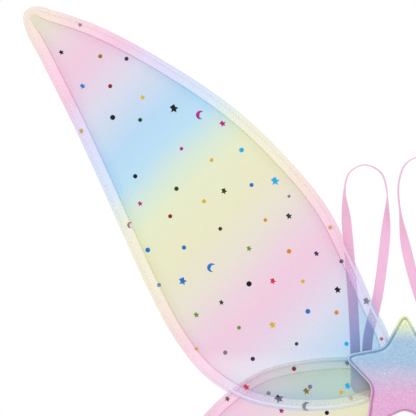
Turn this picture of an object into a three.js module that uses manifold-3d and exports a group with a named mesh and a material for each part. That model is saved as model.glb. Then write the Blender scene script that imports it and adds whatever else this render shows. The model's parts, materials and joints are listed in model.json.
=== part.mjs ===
// Fairy wings: four sheer wings on sprung wire hoops, joined at a padded hub that carries
// a puffy star in front and two elastic arm loops behind.
//
// Millimetres. +X is to the right of someone who looks at the star, +Z is up, and the
// star faces -Y. The origin is the middle of the pad's back face, which lies on the wearer.

import * as THREE from 'three';
import { mergeVertices } from 'three/addons/utils/BufferGeometryUtils.js';
import Module from 'manifold-3d';

const wasm = await Module();
wasm.setup();

// ---- Driving dimensions ------------------------------------------------------------

const WING_SCALE = 1;            // size of all four wings about the hub
const CLEARANCE = 0.3;           // between touching pieces

const WIRE_RADIUS = 0.9;         // spring steel hoop
const WIRE_SIDES = 8;
const WIRE_INSET = 3;            // wire's middle, inside the wing's edge
const FABRIC = 0.4;              // folded casing's wall
const MESH_THICKNESS = 0.4;      // sheer panel
const PIPING_WIDTH = 5.8;        // raised part of the casing, round the wire
const CASING_WIDTH = 10;         // whole hem, measured in from the wing's edge
const MESH_TUCK = 4;             // panel's edge inside the hem

const FERRULE_LENGTH = 8;        // crimp on the hoop's two ends
const FERRULE_WALL = 0.4;
const WIRE_END_GAP = 1;          // between the two ends, inside the crimp

const HUB_HALF_WIDTH = 42;       // stiff plates that clamp the wing roots
const HUB_TOP = 18;
const HUB_BOTTOM = -16;
const HUB_CORNER = 8;
const FRONT_PLATE_HALF_WIDTH = 26;  // the front one stays hidden behind the star
const FRONT_PLATE_BOTTOM = -14;
const PLATE_THICKNESS = 1;
const DIVIDER_THICKNESS = 1.2;

const PAD_HALF_WIDTH = 40;       // soft pad on the wearer's back
const PAD_HALF_HEIGHT = 18;
const PAD_CORNER = 9;
const PAD_THICKNESS = 9.5;
const PAD_COVER_WALL = 0.8;

const STRAP_WIDTH = 8;           // elastic arm loops
const STRAP_THICKNESS = 1;
const STRAP_STEPS = 44;
const STRAP_FOLD_RISE = 2;       // fold line above the pad's top edge
const STRAP_TAIL = 14;           // sewn end, below the fold
const STRAP_FOOT_INSET = 1.6;    // outer sewn end's middle, in from the pad's side
const STRAP_FOOT_GAP = 1.6;      // between a loop's two sewn ends

const STAR_RADIUS = 52.5;        // to the tips, before they are rounded
const STAR_NOTCH_RADIUS = 27.5;
const STAR_POINTS = 5;
const STAR_TIP_ROUNDING = 0.3;   // share of each edge that the tip's curve takes
const STAR_NOTCH_ROUNDING = 0.16;
const STAR_FLANGE = 2.4;         // flat sewn rim
const STAR_COVER_WALL = 0.8;
const STAR_PANEL = 0.8;
const STAR_PUFF = 12.5;          // height of the padded front
const STAR_CURVE_STEPS = 3;
const PUFF_STEPS = 4;

const TIE_RADIUS = 0.8;          // thread ties through the hub
const TIE_X = 22;
const TIE_Z = -2;

const FLEX_MARGIN = 4;           // from the hub and the star out to the line where a wing bends

// Wing edges, as (distance from the middle, height), from the hub round the tip and back.
const UPPER_EDGE = [
  [8, 15], [13, 34], [24, 56], [40, 92], [62, 135], [94, 174], [134, 212], [188, 249],
  [244, 279], [278, 291], [295, 295], [304, 290], [303, 277], [290, 251], [266, 203], [246, 160],
  [222, 106], [204, 67], [184, 30], [159, -1], [124, -22], [76, -29], [38, -25], [15, -15],
  [8, -7], [8, 4],
];
const LOWER_EDGE = [
  [9, 0], [16, 10], [42, 14], [83, 11], [114, 3], [142, -15], [166, -40], [184, -70],
  [192, -103], [189, -137], [180, -159], [168, -168], [153, -165], [112, -138], [70, -98], [36, -56],
  [16, -35], [9, -24], [9, -12],
];
const UPPER_FERRULE_Z = 4 * WING_SCALE;
const LOWER_FERRULE_Z = -11 * WING_SCALE;
const SAMPLES_PER_POINT = 2;

// Free length of each arm loop, as (x, y, z) from the outer foot round to the inner foot.
const LEFT_LOOP = [
  [-38.8, -10, 32], [-40, -6, 60], [-42.4, 1, 98], [-44.6, 9, 128], [-45.4, 14.5, 148],
  [-40.5, 20.5, 163], [-28, 23.5, 169], [-15.5, 20.5, 163], [-10.8, 14.5, 148], [-11.2, 9, 128],
  [-14.4, 1, 98], [-20.4, -6, 60], [-27.6, -10, 32],
];
const RIGHT_LOOP = [
  [38.6, -10, 32], [38.4, -6, 60], [37.6, 1, 98], [36.4, 9, 130], [34.8, 14.5, 152],
  [29, 20.5, 168], [17.5, 23.5, 175.5], [5.5, 20.5, 170], [-1, 14.5, 154], [-0.4, 9, 130],
  [4.4, 1, 98], [14.4, -6, 60], [26.6, -10, 32],
];

// Shares of a loop's length between which its outer leg and then its inner leg twist.
const LEFT_TWIST = [0.27, 0.42, 0.58, 0.76];
const RIGHT_TWIST = [0.27, 0.42, 0.64, 0.8];

// ---- Layers from back (y = 0) to front ---------------------------------------------

const CASING_HALF = WIRE_RADIUS + CLEARANCE + FABRIC;
const HEM_SLOT_HALF = MESH_THICKNESS / 2 + CLEARANCE;
const HEM_HALF = HEM_SLOT_HALF + FABRIC;

const PAD_FRONT = -PAD_THICKNESS;
const STRAP_Y = PAD_FRONT - CLEARANCE - STRAP_THICKNESS / 2;
const BACK_PLATE_Y = STRAP_Y - STRAP_THICKNESS / 2 - CLEARANCE;
const LOWER_WING_Y = BACK_PLATE_Y - PLATE_THICKNESS - CLEARANCE - CASING_HALF;
const DIVIDER_Y = LOWER_WING_Y - CASING_HALF - CLEARANCE;
const UPPER_WING_Y = DIVIDER_Y - DIVIDER_THICKNESS - CLEARANCE - CASING_HALF;
const FRONT_PLATE_Y = UPPER_WING_Y - CASING_HALF - CLEARANCE;
const STAR_BACK_Y = FRONT_PLATE_Y - PLATE_THICKNESS - CLEARANCE;
const STAR_COVER_Y = STAR_BACK_Y - STAR_PANEL - CLEARANCE;

const STRAP_FOLD_Z = PAD_HALF_HEIGHT + STRAP_FOLD_RISE;
const STRAP_FOOT_OUTER = PAD_HALF_WIDTH - STRAP_FOOT_INSET;
const STRAP_FOOT_INNER = STRAP_FOOT_OUTER - STRAP_WIDTH - STRAP_FOOT_GAP;
const TIE_HOLE_RADIUS = TIE_RADIUS + CLEARANCE;
const REACH = 1000;              // larger than the object, for cutting blocks

// ---- Materials ---------------------------------------------------------------------

function material(color, roughness, metalness = 0) {
  return new THREE.MeshStandardMaterial({ color, roughness, metalness });
}

const steel = material('#b9bcc2', 0.35, 0.9);
const brass = material('#c8a864', 0.4, 0.9);
const upperHem = material('#e9dcea', 0.75);
const lowerHem = material('#ecc3dc', 0.75);
const upperMesh = material('#cfe2ee', 0.8);
const lowerMesh = material('#f0cde2', 0.8);
const board = material('#b7a9af', 0.85);
const felt = material('#e9c8dc', 0.95);
const padFoam = material('#efe6da', 0.95);
const padFabric = material('#e8b6d4', 0.85);
const elastic = material('#efb9d9', 0.7);
const glitter = material('#a6c8e4', 0.45);
const wadding = material('#f4f2ee', 0.95);
const thread = material('#e4a9cb', 0.8);

// ---- Solids ------------------------------------------------------------------------

function toSolid(geometry) {
  const bare = geometry.clone();
  bare.deleteAttribute('normal');
  bare.deleteAttribute('uv');
  const merged = mergeVertices(bare, 1e-4);
  return new wasm.Manifold(new wasm.Mesh({
    numProp: 3,
    vertProperties: new Float32Array(merged.attributes.position.array),
    triVerts: new Uint32Array(merged.index.array),
  }));
}

function toGeometry(solid) {
  const mesh = solid.getMesh();
  const geometry = new THREE.BufferGeometry();
  geometry.setAttribute('position', new THREE.BufferAttribute(mesh.vertProperties, 3));
  geometry.setIndex(new THREE.BufferAttribute(mesh.triVerts, 1));
  geometry.computeVertexNormals();
  return geometry;
}

// A flat shape in the x-z plane, given a thickness from yBack forward to yFront.
function prism(shape, yBack, yFront, curveSegments = 5) {
  const options = { depth: yBack - yFront, bevelEnabled: false, curveSegments };
  const geometry = new THREE.ExtrudeGeometry(shape, options);
  geometry.rotateX(Math.PI / 2);
  geometry.translate(0, yBack, 0);
  return toSolid(geometry);
}

function block(xLow, xHigh, yLow, yHigh, zLow, zHigh) {
  const geometry = new THREE.BoxGeometry(xHigh - xLow, yHigh - yLow, zHigh - zLow);
  geometry.translate((xLow + xHigh) / 2, (yLow + yHigh) / 2, (zLow + zHigh) / 2);
  return toSolid(geometry);
}

function roundedRectangle(halfWidth, zLow, zHigh, corner) {
  const shape = new THREE.Shape();
  shape.absarc(halfWidth - corner, zHigh - corner, corner, 0, Math.PI / 2);
  shape.absarc(-halfWidth + corner, zHigh - corner, corner, Math.PI / 2, Math.PI);
  shape.absarc(-halfWidth + corner, zLow + corner, corner, Math.PI, 1.5 * Math.PI);
  shape.absarc(halfWidth - corner, zLow + corner, corner, 1.5 * Math.PI, 2 * Math.PI);
  return shape;
}

// ---- Wing outlines -----------------------------------------------------------------

function edgeCurve(edge, side) {
  const points = edge.map(([x, z]) => new THREE.Vector3(side * x, 0, z).multiplyScalar(WING_SCALE));
  return new THREE.CatmullRomCurve3(points, true, 'centripetal');
}

function edgePolygon(edge, side) {
  const samples = edgeCurve(edge, side).getPoints(edge.length * SAMPLES_PER_POINT).slice(0, -1);
  const polygon = samples.map((point) => new THREE.Vector2(point.x, point.z));
  return THREE.ShapeUtils.isClockWise(polygon) ? polygon.reverse() : polygon;
}

function distanceToPolygon(point, polygon) {
  let nearest = Infinity;
  polygon.forEach((start, i) => {
    const along = polygon[(i + 1) % polygon.length].clone().sub(start);
    const share = THREE.MathUtils.clamp(point.clone().sub(start).dot(along) / along.lengthSq(), 0, 1);
    nearest = Math.min(nearest, point.distanceTo(start.clone().addScaledVector(along, share)));
  });
  return nearest;
}

const INSET_KEPT_SHARE = 0.9995;

// The polygon moved inwards. Where the edge turns tighter than the inset, the crossed
// points are left out, so the inner line comes to a corner.
function insetPolygon(polygon, inset) {
  if (inset === 0) return polygon;
  const moved = polygon.map((point, i) => {
    const before = polygon[(i + polygon.length - 1) % polygon.length];
    const after = polygon[(i + 1) % polygon.length];
    const inA = point.clone().sub(before).normalize();
    const inB = after.clone().sub(point).normalize();
    const normal = new THREE.Vector2(-inA.y - inB.y, inA.x + inB.x).normalize();
    const stretch = 1 / Math.max(0.5, normal.dot(new THREE.Vector2(-inA.y, inA.x)));
    return point.clone().addScaledVector(normal, inset * stretch);
  });
  return moved.filter((point) => distanceToPolygon(point, polygon) > inset * INSET_KEPT_SHARE);
}

function plate(polygon, y, half) {
  return prism(new THREE.Shape(polygon), y + half, y - half);
}

// ---- Wing pieces -------------------------------------------------------------------

// A round wire down the middle of the casing. Its two ends meet in the ferrule.
function hoopWire(edge, side, y, ferruleZ) {
  const line = insetPolygon(edgePolygon(edge, side), WIRE_INSET);
  const start = nearestIndex(line, new THREE.Vector2(side * edge[0][0] * WING_SCALE, ferruleZ));
  const ordered = [...line.slice(start), ...line.slice(0, start)];
  const closed = ordered.map((point) => new THREE.Vector3(point.x, y, point.y));
  const hoop = new THREE.CatmullRomCurve3(closed, true, 'centripetal');
  const open = new WireRoute(hoop, WIRE_END_GAP / 2);
  const options = { steps: line.length, extrudePath: open, bevelEnabled: false };
  return toSolid(new THREE.ExtrudeGeometry(circle(WIRE_RADIUS, WIRE_SIDES), options));
}

// A closed curve without a short stretch at its start. Its steps follow the curve's own
// points, which lie closest together where it bends.
class WireRoute extends THREE.Curve {
  constructor(loop, gap) {
    super();
    this.loop = loop;
    const firstStep = loop.points[0].distanceTo(loop.points[1]);
    this.skip = gap / firstStep / loop.points.length;
  }

  getPoint(share, target = new THREE.Vector3()) {
    return this.loop.getPoint(this.skip + share * (1 - 2 * this.skip), target);
  }

  getPointAt(share, target) {
    return this.getPoint(share, target);
  }

  getTangentAt(share, target) {
    return this.getTangent(share, target);
  }
}

function nearestIndex(points, target) {
  const distances = points.map((point) => point.distanceTo(target));
  return distances.indexOf(Math.min(...distances));
}

function circle(radius, sides) {
  const points = [];
  for (let i = 0; i < sides; i += 1) {
    const angle = (2 * Math.PI * (i + 0.5)) / sides;
    points.push(new THREE.Vector2(radius * Math.cos(angle), radius * Math.sin(angle)));
  }
  return new THREE.Shape(points);
}

// The folded hem: a raised tunnel for the wire and two flat legs that hold the panel.
function hem(polygon, y) {
  const tunnel = plate(polygon, y, CASING_HALF).subtract(
    plate(insetPolygon(polygon, PIPING_WIDTH), y, CASING_HALF + 1));
  const legs = plate(polygon, y, HEM_HALF).subtract(
    plate(insetPolygon(polygon, CASING_WIDTH), y, CASING_HALF + 1));
  const tunnelSpace = plate(insetPolygon(polygon, FABRIC), y, WIRE_RADIUS + CLEARANCE).subtract(
    plate(insetPolygon(polygon, PIPING_WIDTH - FABRIC), y, CASING_HALF + 1));
  const slot = plate(insetPolygon(polygon, PIPING_WIDTH - 2 * FABRIC), y, HEM_SLOT_HALF);
  return tunnel.add(legs).subtract(tunnelSpace).subtract(slot);
}

function upright(radius, x, y, zLow, zHigh, sides = 16) {
  const geometry = new THREE.CylinderGeometry(radius, radius, zHigh - zLow, sides);
  geometry.rotateX(Math.PI / 2);
  geometry.translate(x, y, (zLow + zHigh) / 2);
  return toSolid(geometry);
}

// The crimp on the hoop's ends, where the hoop runs straight up beside the hub's middle.
function ferrule(x, y, z) {
  const bore = WIRE_RADIUS + CLEARANCE;
  const low = z - FERRULE_LENGTH / 2;
  const high = z + FERRULE_LENGTH / 2;
  const outer = upright(bore + FERRULE_WALL, x, y, low, high);
  return outer.subtract(upright(bore, x, y, low - 1, high + 1));
}

function ferruleWindow(x, y, z) {
  const half = WIRE_RADIUS + 2 * CLEARANCE + FERRULE_WALL;
  const reach = FERRULE_LENGTH / 2 + CLEARANCE;
  const inner = Math.sign(x) * half;
  const outer = -Math.sign(x) * (WIRE_INSET + 1);
  return block(x + Math.min(inner, outer), x + Math.max(inner, outer),
    y - REACH, y + REACH, z - reach, z + reach);
}

function threadTie(x) {
  const geometry = new THREE.CylinderGeometry(TIE_RADIUS, TIE_RADIUS, 1, 10);
  const front = STAR_BACK_Y + CLEARANCE;
  const back = PAD_FRONT - CLEARANCE;
  geometry.scale(1, back - front, 1);
  geometry.translate(x, (front + back) / 2, TIE_Z);
  return geometry;
}

function tieHoles() {
  const holes = [-1, 1].map((side) => {
    const geometry = new THREE.CylinderGeometry(TIE_HOLE_RADIUS, TIE_HOLE_RADIUS, 2 * REACH, 12);
    geometry.translate(side * TIE_X, 0, TIE_Z);
    return toSolid(geometry);
  });
  return holes[0].add(holes[1]);
}

const tieHolePair = tieHoles();

// ---- Star --------------------------------------------------------------------------

function starOutline(scale = 1) {
  const corners = [];
  for (let i = 0; i < 2 * STAR_POINTS; i += 1) {
    const angle = Math.PI / 2 + (i * Math.PI) / STAR_POINTS;
    const radius = scale * (i % 2 === 0 ? STAR_RADIUS : STAR_NOTCH_RADIUS);
    corners.push(new THREE.Vector2(radius * Math.cos(angle), radius * Math.sin(angle)));
  }
  const shape = new THREE.Shape();
  corners.forEach((corner, i) => {
    const before = corners[(i + corners.length - 1) % corners.length];
    const after = corners[(i + 1) % corners.length];
    const rounding = i % 2 === 0 ? STAR_TIP_ROUNDING : STAR_NOTCH_ROUNDING;
    const start = corner.clone().lerp(before, rounding);
    const end = corner.clone().lerp(after, rounding);
    if (i === 0) shape.moveTo(start.x, start.y);
    else shape.lineTo(start.x, start.y);
    shape.quadraticCurveTo(corner.x, corner.y, end.x, end.y);
  });
  shape.closePath();
  return shape;
}

// A closed cushion: the outline's rings shrink and rise from yBack towards the viewer.
function cushion(rings, yBack) {
  const outline = starOutline().getPoints(STAR_CURVE_STEPS).slice(0, -1);
  const count = outline.length;
  const positions = [0, yBack, 0];
  const faces = [];
  rings.forEach(([share, rise]) => {
    outline.forEach((point) => positions.push(point.x * share, yBack - rise, point.y * share));
  });
  const last = rings.length - 1;
  positions.push(0, yBack - rings[last][1] * 1.02, 0);
  const apex = 1 + rings.length * count;
  for (let i = 0; i < count; i += 1) {
    const next = (i + 1) % count;
    faces.push(0, 1 + next, 1 + i);
    faces.push(apex, 1 + last * count + i, 1 + last * count + next);
    for (let ring = 0; ring < last; ring += 1) {
      const low = 1 + ring * count;
      const high = low + count;
      faces.push(low + i, high + next, high + i);
      faces.push(low + i, low + next, high + next);
    }
  }
  const geometry = new THREE.BufferGeometry();
  geometry.setAttribute('position', new THREE.Float32BufferAttribute(positions, 3));
  geometry.setIndex(faces);
  return toSolid(geometry);
}

const STAR_INNER_SHARE = 1 - STAR_FLANGE / STAR_NOTCH_RADIUS;
const STAR_HALF_WIDTH = Math.max(...starOutline().getPoints(STAR_CURVE_STEPS).map(({ x }) => x));

function puffRings(firstShare, height) {
  const rings = [];
  for (let i = 0; i < PUFF_STEPS; i += 1) {
    const angle = (Math.PI / 2) * (i / PUFF_STEPS);
    rings.push([firstShare * Math.cos(angle), height * Math.sin(angle)]);
  }
  return rings;
}

function starCover() {
  const flange = prism(starOutline(), STAR_COVER_Y, STAR_COVER_Y - STAR_COVER_WALL, STAR_CURVE_STEPS);
  const dome = cushion(puffRings(STAR_INNER_SHARE, STAR_PUFF), STAR_COVER_Y);
  const innerShare = STAR_INNER_SHARE - STAR_COVER_WALL / STAR_NOTCH_RADIUS;
  const hollow = cushion(puffRings(innerShare, STAR_PUFF - STAR_COVER_WALL), STAR_COVER_Y);
  const mouth = prism(starOutline(innerShare), STAR_COVER_Y + 1, STAR_COVER_Y - CLEARANCE, STAR_CURVE_STEPS);
  return flange.add(dome).subtract(hollow).subtract(mouth);
}

function starPadding() {
  const share = STAR_INNER_SHARE - (STAR_COVER_WALL + 2 * CLEARANCE) / STAR_NOTCH_RADIUS;
  const height = STAR_PUFF - STAR_COVER_WALL - 2 * CLEARANCE;
  return cushion(puffRings(share, height), STAR_COVER_Y);
}

// ---- Bending lines beside the hub ---------------------------------------------------

const FLEX_X = Math.max(HUB_HALF_WIDTH, STAR_HALF_WIDTH) + FLEX_MARGIN;

// Splits a wing piece on its flex line. The outer part has a round end on that line, so
// it turns clear of the part that stays on the hub.
function splitAtFlexLine(solid, side, y) {
  const turning = block(Math.min(side * FLEX_X, side * REACH), Math.max(side * FLEX_X, side * REACH),
    -REACH, REACH, -REACH, REACH).add(upright(CASING_HALF, side * FLEX_X, y, -REACH, REACH));
  const stop = side * (FLEX_X - CASING_HALF - CLEARANCE);
  const fixed = block(Math.min(stop, -side * REACH), Math.max(stop, -side * REACH),
    -REACH, REACH, -REACH, REACH);
  return { outer: solid.intersect(turning), root: solid.intersect(fixed) };
}

// ---- Pad and arm loops -------------------------------------------------------------

function padCover() {
  const outer = roundedRectangle(PAD_HALF_WIDTH, -PAD_HALF_HEIGHT, PAD_HALF_HEIGHT, PAD_CORNER);
  const hollow = roundedRectangle(PAD_HALF_WIDTH - PAD_COVER_WALL, -PAD_HALF_HEIGHT + PAD_COVER_WALL,
    PAD_HALF_HEIGHT - PAD_COVER_WALL, PAD_CORNER - PAD_COVER_WALL);
  return prism(outer, 0, PAD_FRONT).subtract(prism(hollow, -PAD_COVER_WALL, PAD_FRONT - 1));
}

function padCore() {
  const wall = PAD_COVER_WALL + CLEARANCE;
  const outline = roundedRectangle(PAD_HALF_WIDTH - wall, -PAD_HALF_HEIGHT + wall,
    PAD_HALF_HEIGHT - wall, PAD_CORNER - wall);
  return prism(outline, -wall, PAD_FRONT);
}

// A flat band along a route. It lies flat on the hub at both feet and makes a quarter
// turn in each leg, so that its width runs front to back at the top.
function armLoop(freePoints, twist, side) {
  const outerFoot = new THREE.Vector3(side * STRAP_FOOT_OUTER, STRAP_Y, STRAP_FOLD_Z);
  const innerFoot = new THREE.Vector3(side * STRAP_FOOT_INNER, STRAP_Y, STRAP_FOLD_Z);
  const middle = freePoints.map(([x, y, z]) => new THREE.Vector3(x, y, z));
  const route = new THREE.CatmullRomCurve3([outerFoot, ...middle, innerFoot], false, 'centripetal');
  const positions = [];
  for (let i = 0; i <= STRAP_STEPS; i += 1) {
    const share = i / STRAP_STEPS;
    const rising = THREE.MathUtils.smoothstep(share, twist[0], twist[1]);
    const falling = THREE.MathUtils.smoothstep(share, twist[2], twist[3]);
    const turn = (Math.PI / 2) * (rising + falling);
    const tangent = i % STRAP_STEPS === 0 ? new THREE.Vector3(0, 0, i === 0 ? 1 : -1)
      : route.getTangentAt(share);
    const across = new THREE.Vector3(side * Math.cos(turn), Math.sin(turn), 0);
    across.addScaledVector(tangent, -across.dot(tangent)).normalize();
    const through = new THREE.Vector3().crossVectors(tangent, across);
    [[-1, -1], [1, -1], [1, 1], [-1, 1]].forEach(([a, b]) => {
      const corner = route.getPointAt(share).addScaledVector(across, (a * STRAP_WIDTH) / 2);
      corner.addScaledVector(through, (b * STRAP_THICKNESS) / 2);
      positions.push(corner.x, corner.y, corner.z);
    });
  }
  const end = 4 * STRAP_STEPS;
  const faces = [0, 2, 1, 0, 3, 2, end, end + 1, end + 2, end, end + 2, end + 3];
  for (let i = 0; i < STRAP_STEPS; i += 1) {
    for (let corner = 0; corner < 4; corner += 1) {
      const a = 4 * i + corner;
      const b = 4 * i + ((corner + 1) % 4);
      faces.push(a, b, b + 4);
      faces.push(a, b + 4, a + 4);
    }
  }
  const geometry = new THREE.BufferGeometry();
  geometry.setAttribute('position', new THREE.Float32BufferAttribute(positions, 3));
  geometry.setIndex(faces);
  return geometry;
}

function strapTail(x) {
  const top = STRAP_FOLD_Z - STRAP_THICKNESS / 2 - CLEARANCE;
  return block(x - STRAP_WIDTH / 2, x + STRAP_WIDTH / 2, STRAP_Y - STRAP_THICKNESS / 2,
    STRAP_Y + STRAP_THICKNESS / 2, STRAP_FOLD_Z - STRAP_TAIL, top);
}

// ---- Assembly ----------------------------------------------------------------------

const fairyWings = new THREE.Group();
fairyWings.name = 'fairy_wings';

function addPiece(name, shape, pieceMaterial) {
  const geometry = shape.isBufferGeometry ? shape : toGeometry(shape);
  const mesh = new THREE.Mesh(geometry, pieceMaterial);
  mesh.name = name;
  fairyWings.add(mesh);
}

function addWing(name, edge, side, y, ferruleZ, hemMaterial, meshMaterial) {
  const polygon = edgePolygon(edge, side);
  const wireX = side * (edge[0][0] * WING_SCALE + WIRE_INSET);
  const wire = splitAtFlexLine(hoopWire(edge, side, y, ferruleZ), side, y);
  const window = ferruleWindow(wireX, y, ferruleZ);
  const casing = splitAtFlexLine(hem(polygon, y).subtract(window), side, y);
  const panelEdge = insetPolygon(polygon, CASING_WIDTH - MESH_TUCK);
  const panel = plate(panelEdge, y, MESH_THICKNESS / 2);
  const sheer = splitAtFlexLine(panel.subtract(tieHolePair), side, y);

  addPiece(`${name}_wire`, wire.outer, steel);
  const ends = wire.root.decompose();
  ends.sort((a, b) => b.boundingBox().max[2] - a.boundingBox().max[2]);
  addPiece(`${name}_wire_top_end`, ends[0], steel);
  addPiece(`${name}_wire_bottom_end`, ends[1], steel);
  addPiece(`${name}_casing`, casing.outer, hemMaterial);
  addPiece(`${name}_casing_root`, casing.root, hemMaterial);
  addPiece(`${name}_mesh`, sheer.outer, meshMaterial);
  addPiece(`${name}_mesh_root`, sheer.root, meshMaterial);
  addPiece(`${name}_ferrule`, ferrule(wireX, y, ferruleZ), brass);
}

[['left', -1], ['right', 1]].forEach(([sideName, side]) => {
  addWing(`upper_${sideName}`, UPPER_EDGE, side, UPPER_WING_Y, UPPER_FERRULE_Z, upperHem, upperMesh);
  addWing(`lower_${sideName}`, LOWER_EDGE, side, LOWER_WING_Y, LOWER_FERRULE_Z, lowerHem, lowerMesh);
  const loop = side < 0 ? LEFT_LOOP : RIGHT_LOOP;
  const twist = side < 0 ? LEFT_TWIST : RIGHT_TWIST;
  addPiece(`${sideName}_arm_loop`, armLoop(loop, twist, side), elastic);
  addPiece(`${sideName}_outer_loop_tail`, strapTail(side * STRAP_FOOT_OUTER), elastic);
  addPiece(`${sideName}_inner_loop_tail`, strapTail(side * STRAP_FOOT_INNER), elastic);
  addPiece(`${sideName}_thread_tie`, threadTie(side * TIE_X), thread);
});

const hubPlate = (y, thickness, halfWidth = HUB_HALF_WIDTH, bottom = HUB_BOTTOM) => (
  prism(roundedRectangle(halfWidth, bottom, HUB_TOP, HUB_CORNER), y, y - thickness)
    .subtract(tieHolePair));
addPiece('hub_back_plate', hubPlate(BACK_PLATE_Y, PLATE_THICKNESS), board);
addPiece('hub_divider', hubPlate(DIVIDER_Y, DIVIDER_THICKNESS), felt);
addPiece('hub_front_plate', hubPlate(FRONT_PLATE_Y, PLATE_THICKNESS, FRONT_PLATE_HALF_WIDTH,
  FRONT_PLATE_BOTTOM), board);
addPiece('back_pad_cover', padCover(), padFabric);
addPiece('back_pad_core', padCore(), padFoam);
const starPanel = prism(starOutline(), STAR_BACK_Y, STAR_BACK_Y - STAR_PANEL, STAR_CURVE_STEPS);
addPiece('star_back_panel', starPanel, glitter);
addPiece('star_padding', starPadding(), wadding);
addPiece('star_front_cover', starCover(), glitter);

export default fairyWings;
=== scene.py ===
"""Fairy wings: sheer printed wings on wire hoops, a puffy glitter star, a back pad and elastic arm loops.

Lengths in the lists below are in millimetres, in the frame of the CAD part: X to the right of someone
who looks at the star, Y towards the wearer, Z up. Everything else is in metres.
"""

import json
import math
import random

import bmesh
import bpy
import numpy as np
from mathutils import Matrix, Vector


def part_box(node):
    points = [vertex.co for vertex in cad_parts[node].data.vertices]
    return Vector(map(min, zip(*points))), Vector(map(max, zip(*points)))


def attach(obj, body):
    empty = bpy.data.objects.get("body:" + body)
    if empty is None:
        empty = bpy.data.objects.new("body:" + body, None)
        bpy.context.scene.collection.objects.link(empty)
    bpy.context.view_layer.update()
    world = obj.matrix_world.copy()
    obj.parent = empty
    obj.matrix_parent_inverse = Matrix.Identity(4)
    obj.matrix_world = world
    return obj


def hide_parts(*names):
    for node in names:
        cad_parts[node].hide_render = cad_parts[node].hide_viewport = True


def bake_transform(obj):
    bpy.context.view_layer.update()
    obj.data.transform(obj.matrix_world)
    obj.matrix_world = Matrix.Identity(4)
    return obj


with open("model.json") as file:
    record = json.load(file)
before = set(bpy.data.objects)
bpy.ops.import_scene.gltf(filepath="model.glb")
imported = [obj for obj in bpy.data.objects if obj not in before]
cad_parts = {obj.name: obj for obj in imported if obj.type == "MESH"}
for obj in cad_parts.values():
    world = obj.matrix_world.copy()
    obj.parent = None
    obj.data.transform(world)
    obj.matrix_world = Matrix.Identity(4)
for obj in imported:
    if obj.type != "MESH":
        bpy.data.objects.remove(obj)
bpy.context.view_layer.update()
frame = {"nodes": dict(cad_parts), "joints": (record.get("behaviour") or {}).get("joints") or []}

bl_info = {
    "name": "Fairy wings",
    "version": (1, 0, 0),
    "blender": (4, 5, 0),
    "location": "3D View > Sidebar > Fairy wings",
    "description": "Builds dress-up fairy wings round their CAD frame",
    "category": "Add Mesh",
}

MM = 0.001
SIDES = {"left": -1, "right": 1}

# Wing edges, as (distance from the middle, height), from the hub round the tip and back.
UPPER_EDGE = [
    (8, 15), (13, 34), (24, 56), (40, 92), (62, 135), (94, 174), (134, 212), (188, 249),
    (244, 279), (278, 291), (295, 295), (304, 290), (303, 277), (290, 251), (266, 203), (246, 160),
    (222, 106), (204, 67), (184, 30), (159, -1), (124, -22), (76, -29), (38, -25), (15, -15),
    (8, -7), (8, 4),
]
LOWER_EDGE = [
    (9, 0), (16, 10), (42, 14), (83, 11), (114, 3), (142, -15), (166, -40), (184, -70),
    (192, -103), (189, -137), (180, -159), (168, -168), (153, -165), (112, -138), (70, -98), (36, -56),
    (16, -35), (9, -24), (9, -12),
]
EDGES = {"upper": UPPER_EDGE, "lower": LOWER_EDGE}

# Each arm loop's free length, as (x, y, z), from the outer foot round to the inner foot.
LOOPS = {
    "left": [
        (-38.8, -10, 32), (-40, -6, 60), (-42.4, 1, 98), (-44.6, 9, 128), (-45.4, 14.5, 148),
        (-40.5, 20.5, 163), (-28, 23.5, 169), (-15.5, 20.5, 163), (-10.8, 14.5, 148), (-11.2, 9, 128),
        (-14.4, 1, 98), (-20.4, -6, 60), (-27.6, -10, 32),
    ],
    "right": [
        (38.6, -10, 32), (38.4, -6, 60), (37.6, 1, 98), (36.4, 9, 130), (34.8, 14.5, 152),
        (29, 20.5, 168), (17.5, 23.5, 175.5), (5.5, 20.5, 170), (-1, 14.5, 154), (-0.4, 9, 130),
        (4.4, 1, 98), (14.4, -6, 60), (26.6, -10, 32),
    ],
}

# Shares of a loop's length between which its outer leg and then its inner leg twist.
TWISTS = {"left": (0.27, 0.42, 0.58, 0.76), "right": (0.27, 0.42, 0.64, 0.8)}

# The folded hem's section, as (distance in from the wing's edge, half thickness).
HEM_SECTION = [
    (0, 0), (0.3, 0.75), (1.2, 1.3), (2.6, 1.55), (4.0, 1.45), (5.2, 1.0), (5.9, 0.78),
    (6.7, 0.9), (8.8, 0.86), (9.7, 0.68), (10, 0.3),
]

HEM_WIDTH = HEM_SECTION[-1][0] * MM
HEM_SEEDS = {"upper": 5, "lower": 8}

# The hem's one row of stitches, as (distance in from the wing's edge, distance from its middle plane).
HEM_STITCHES = (5.95, 0.8)

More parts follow.
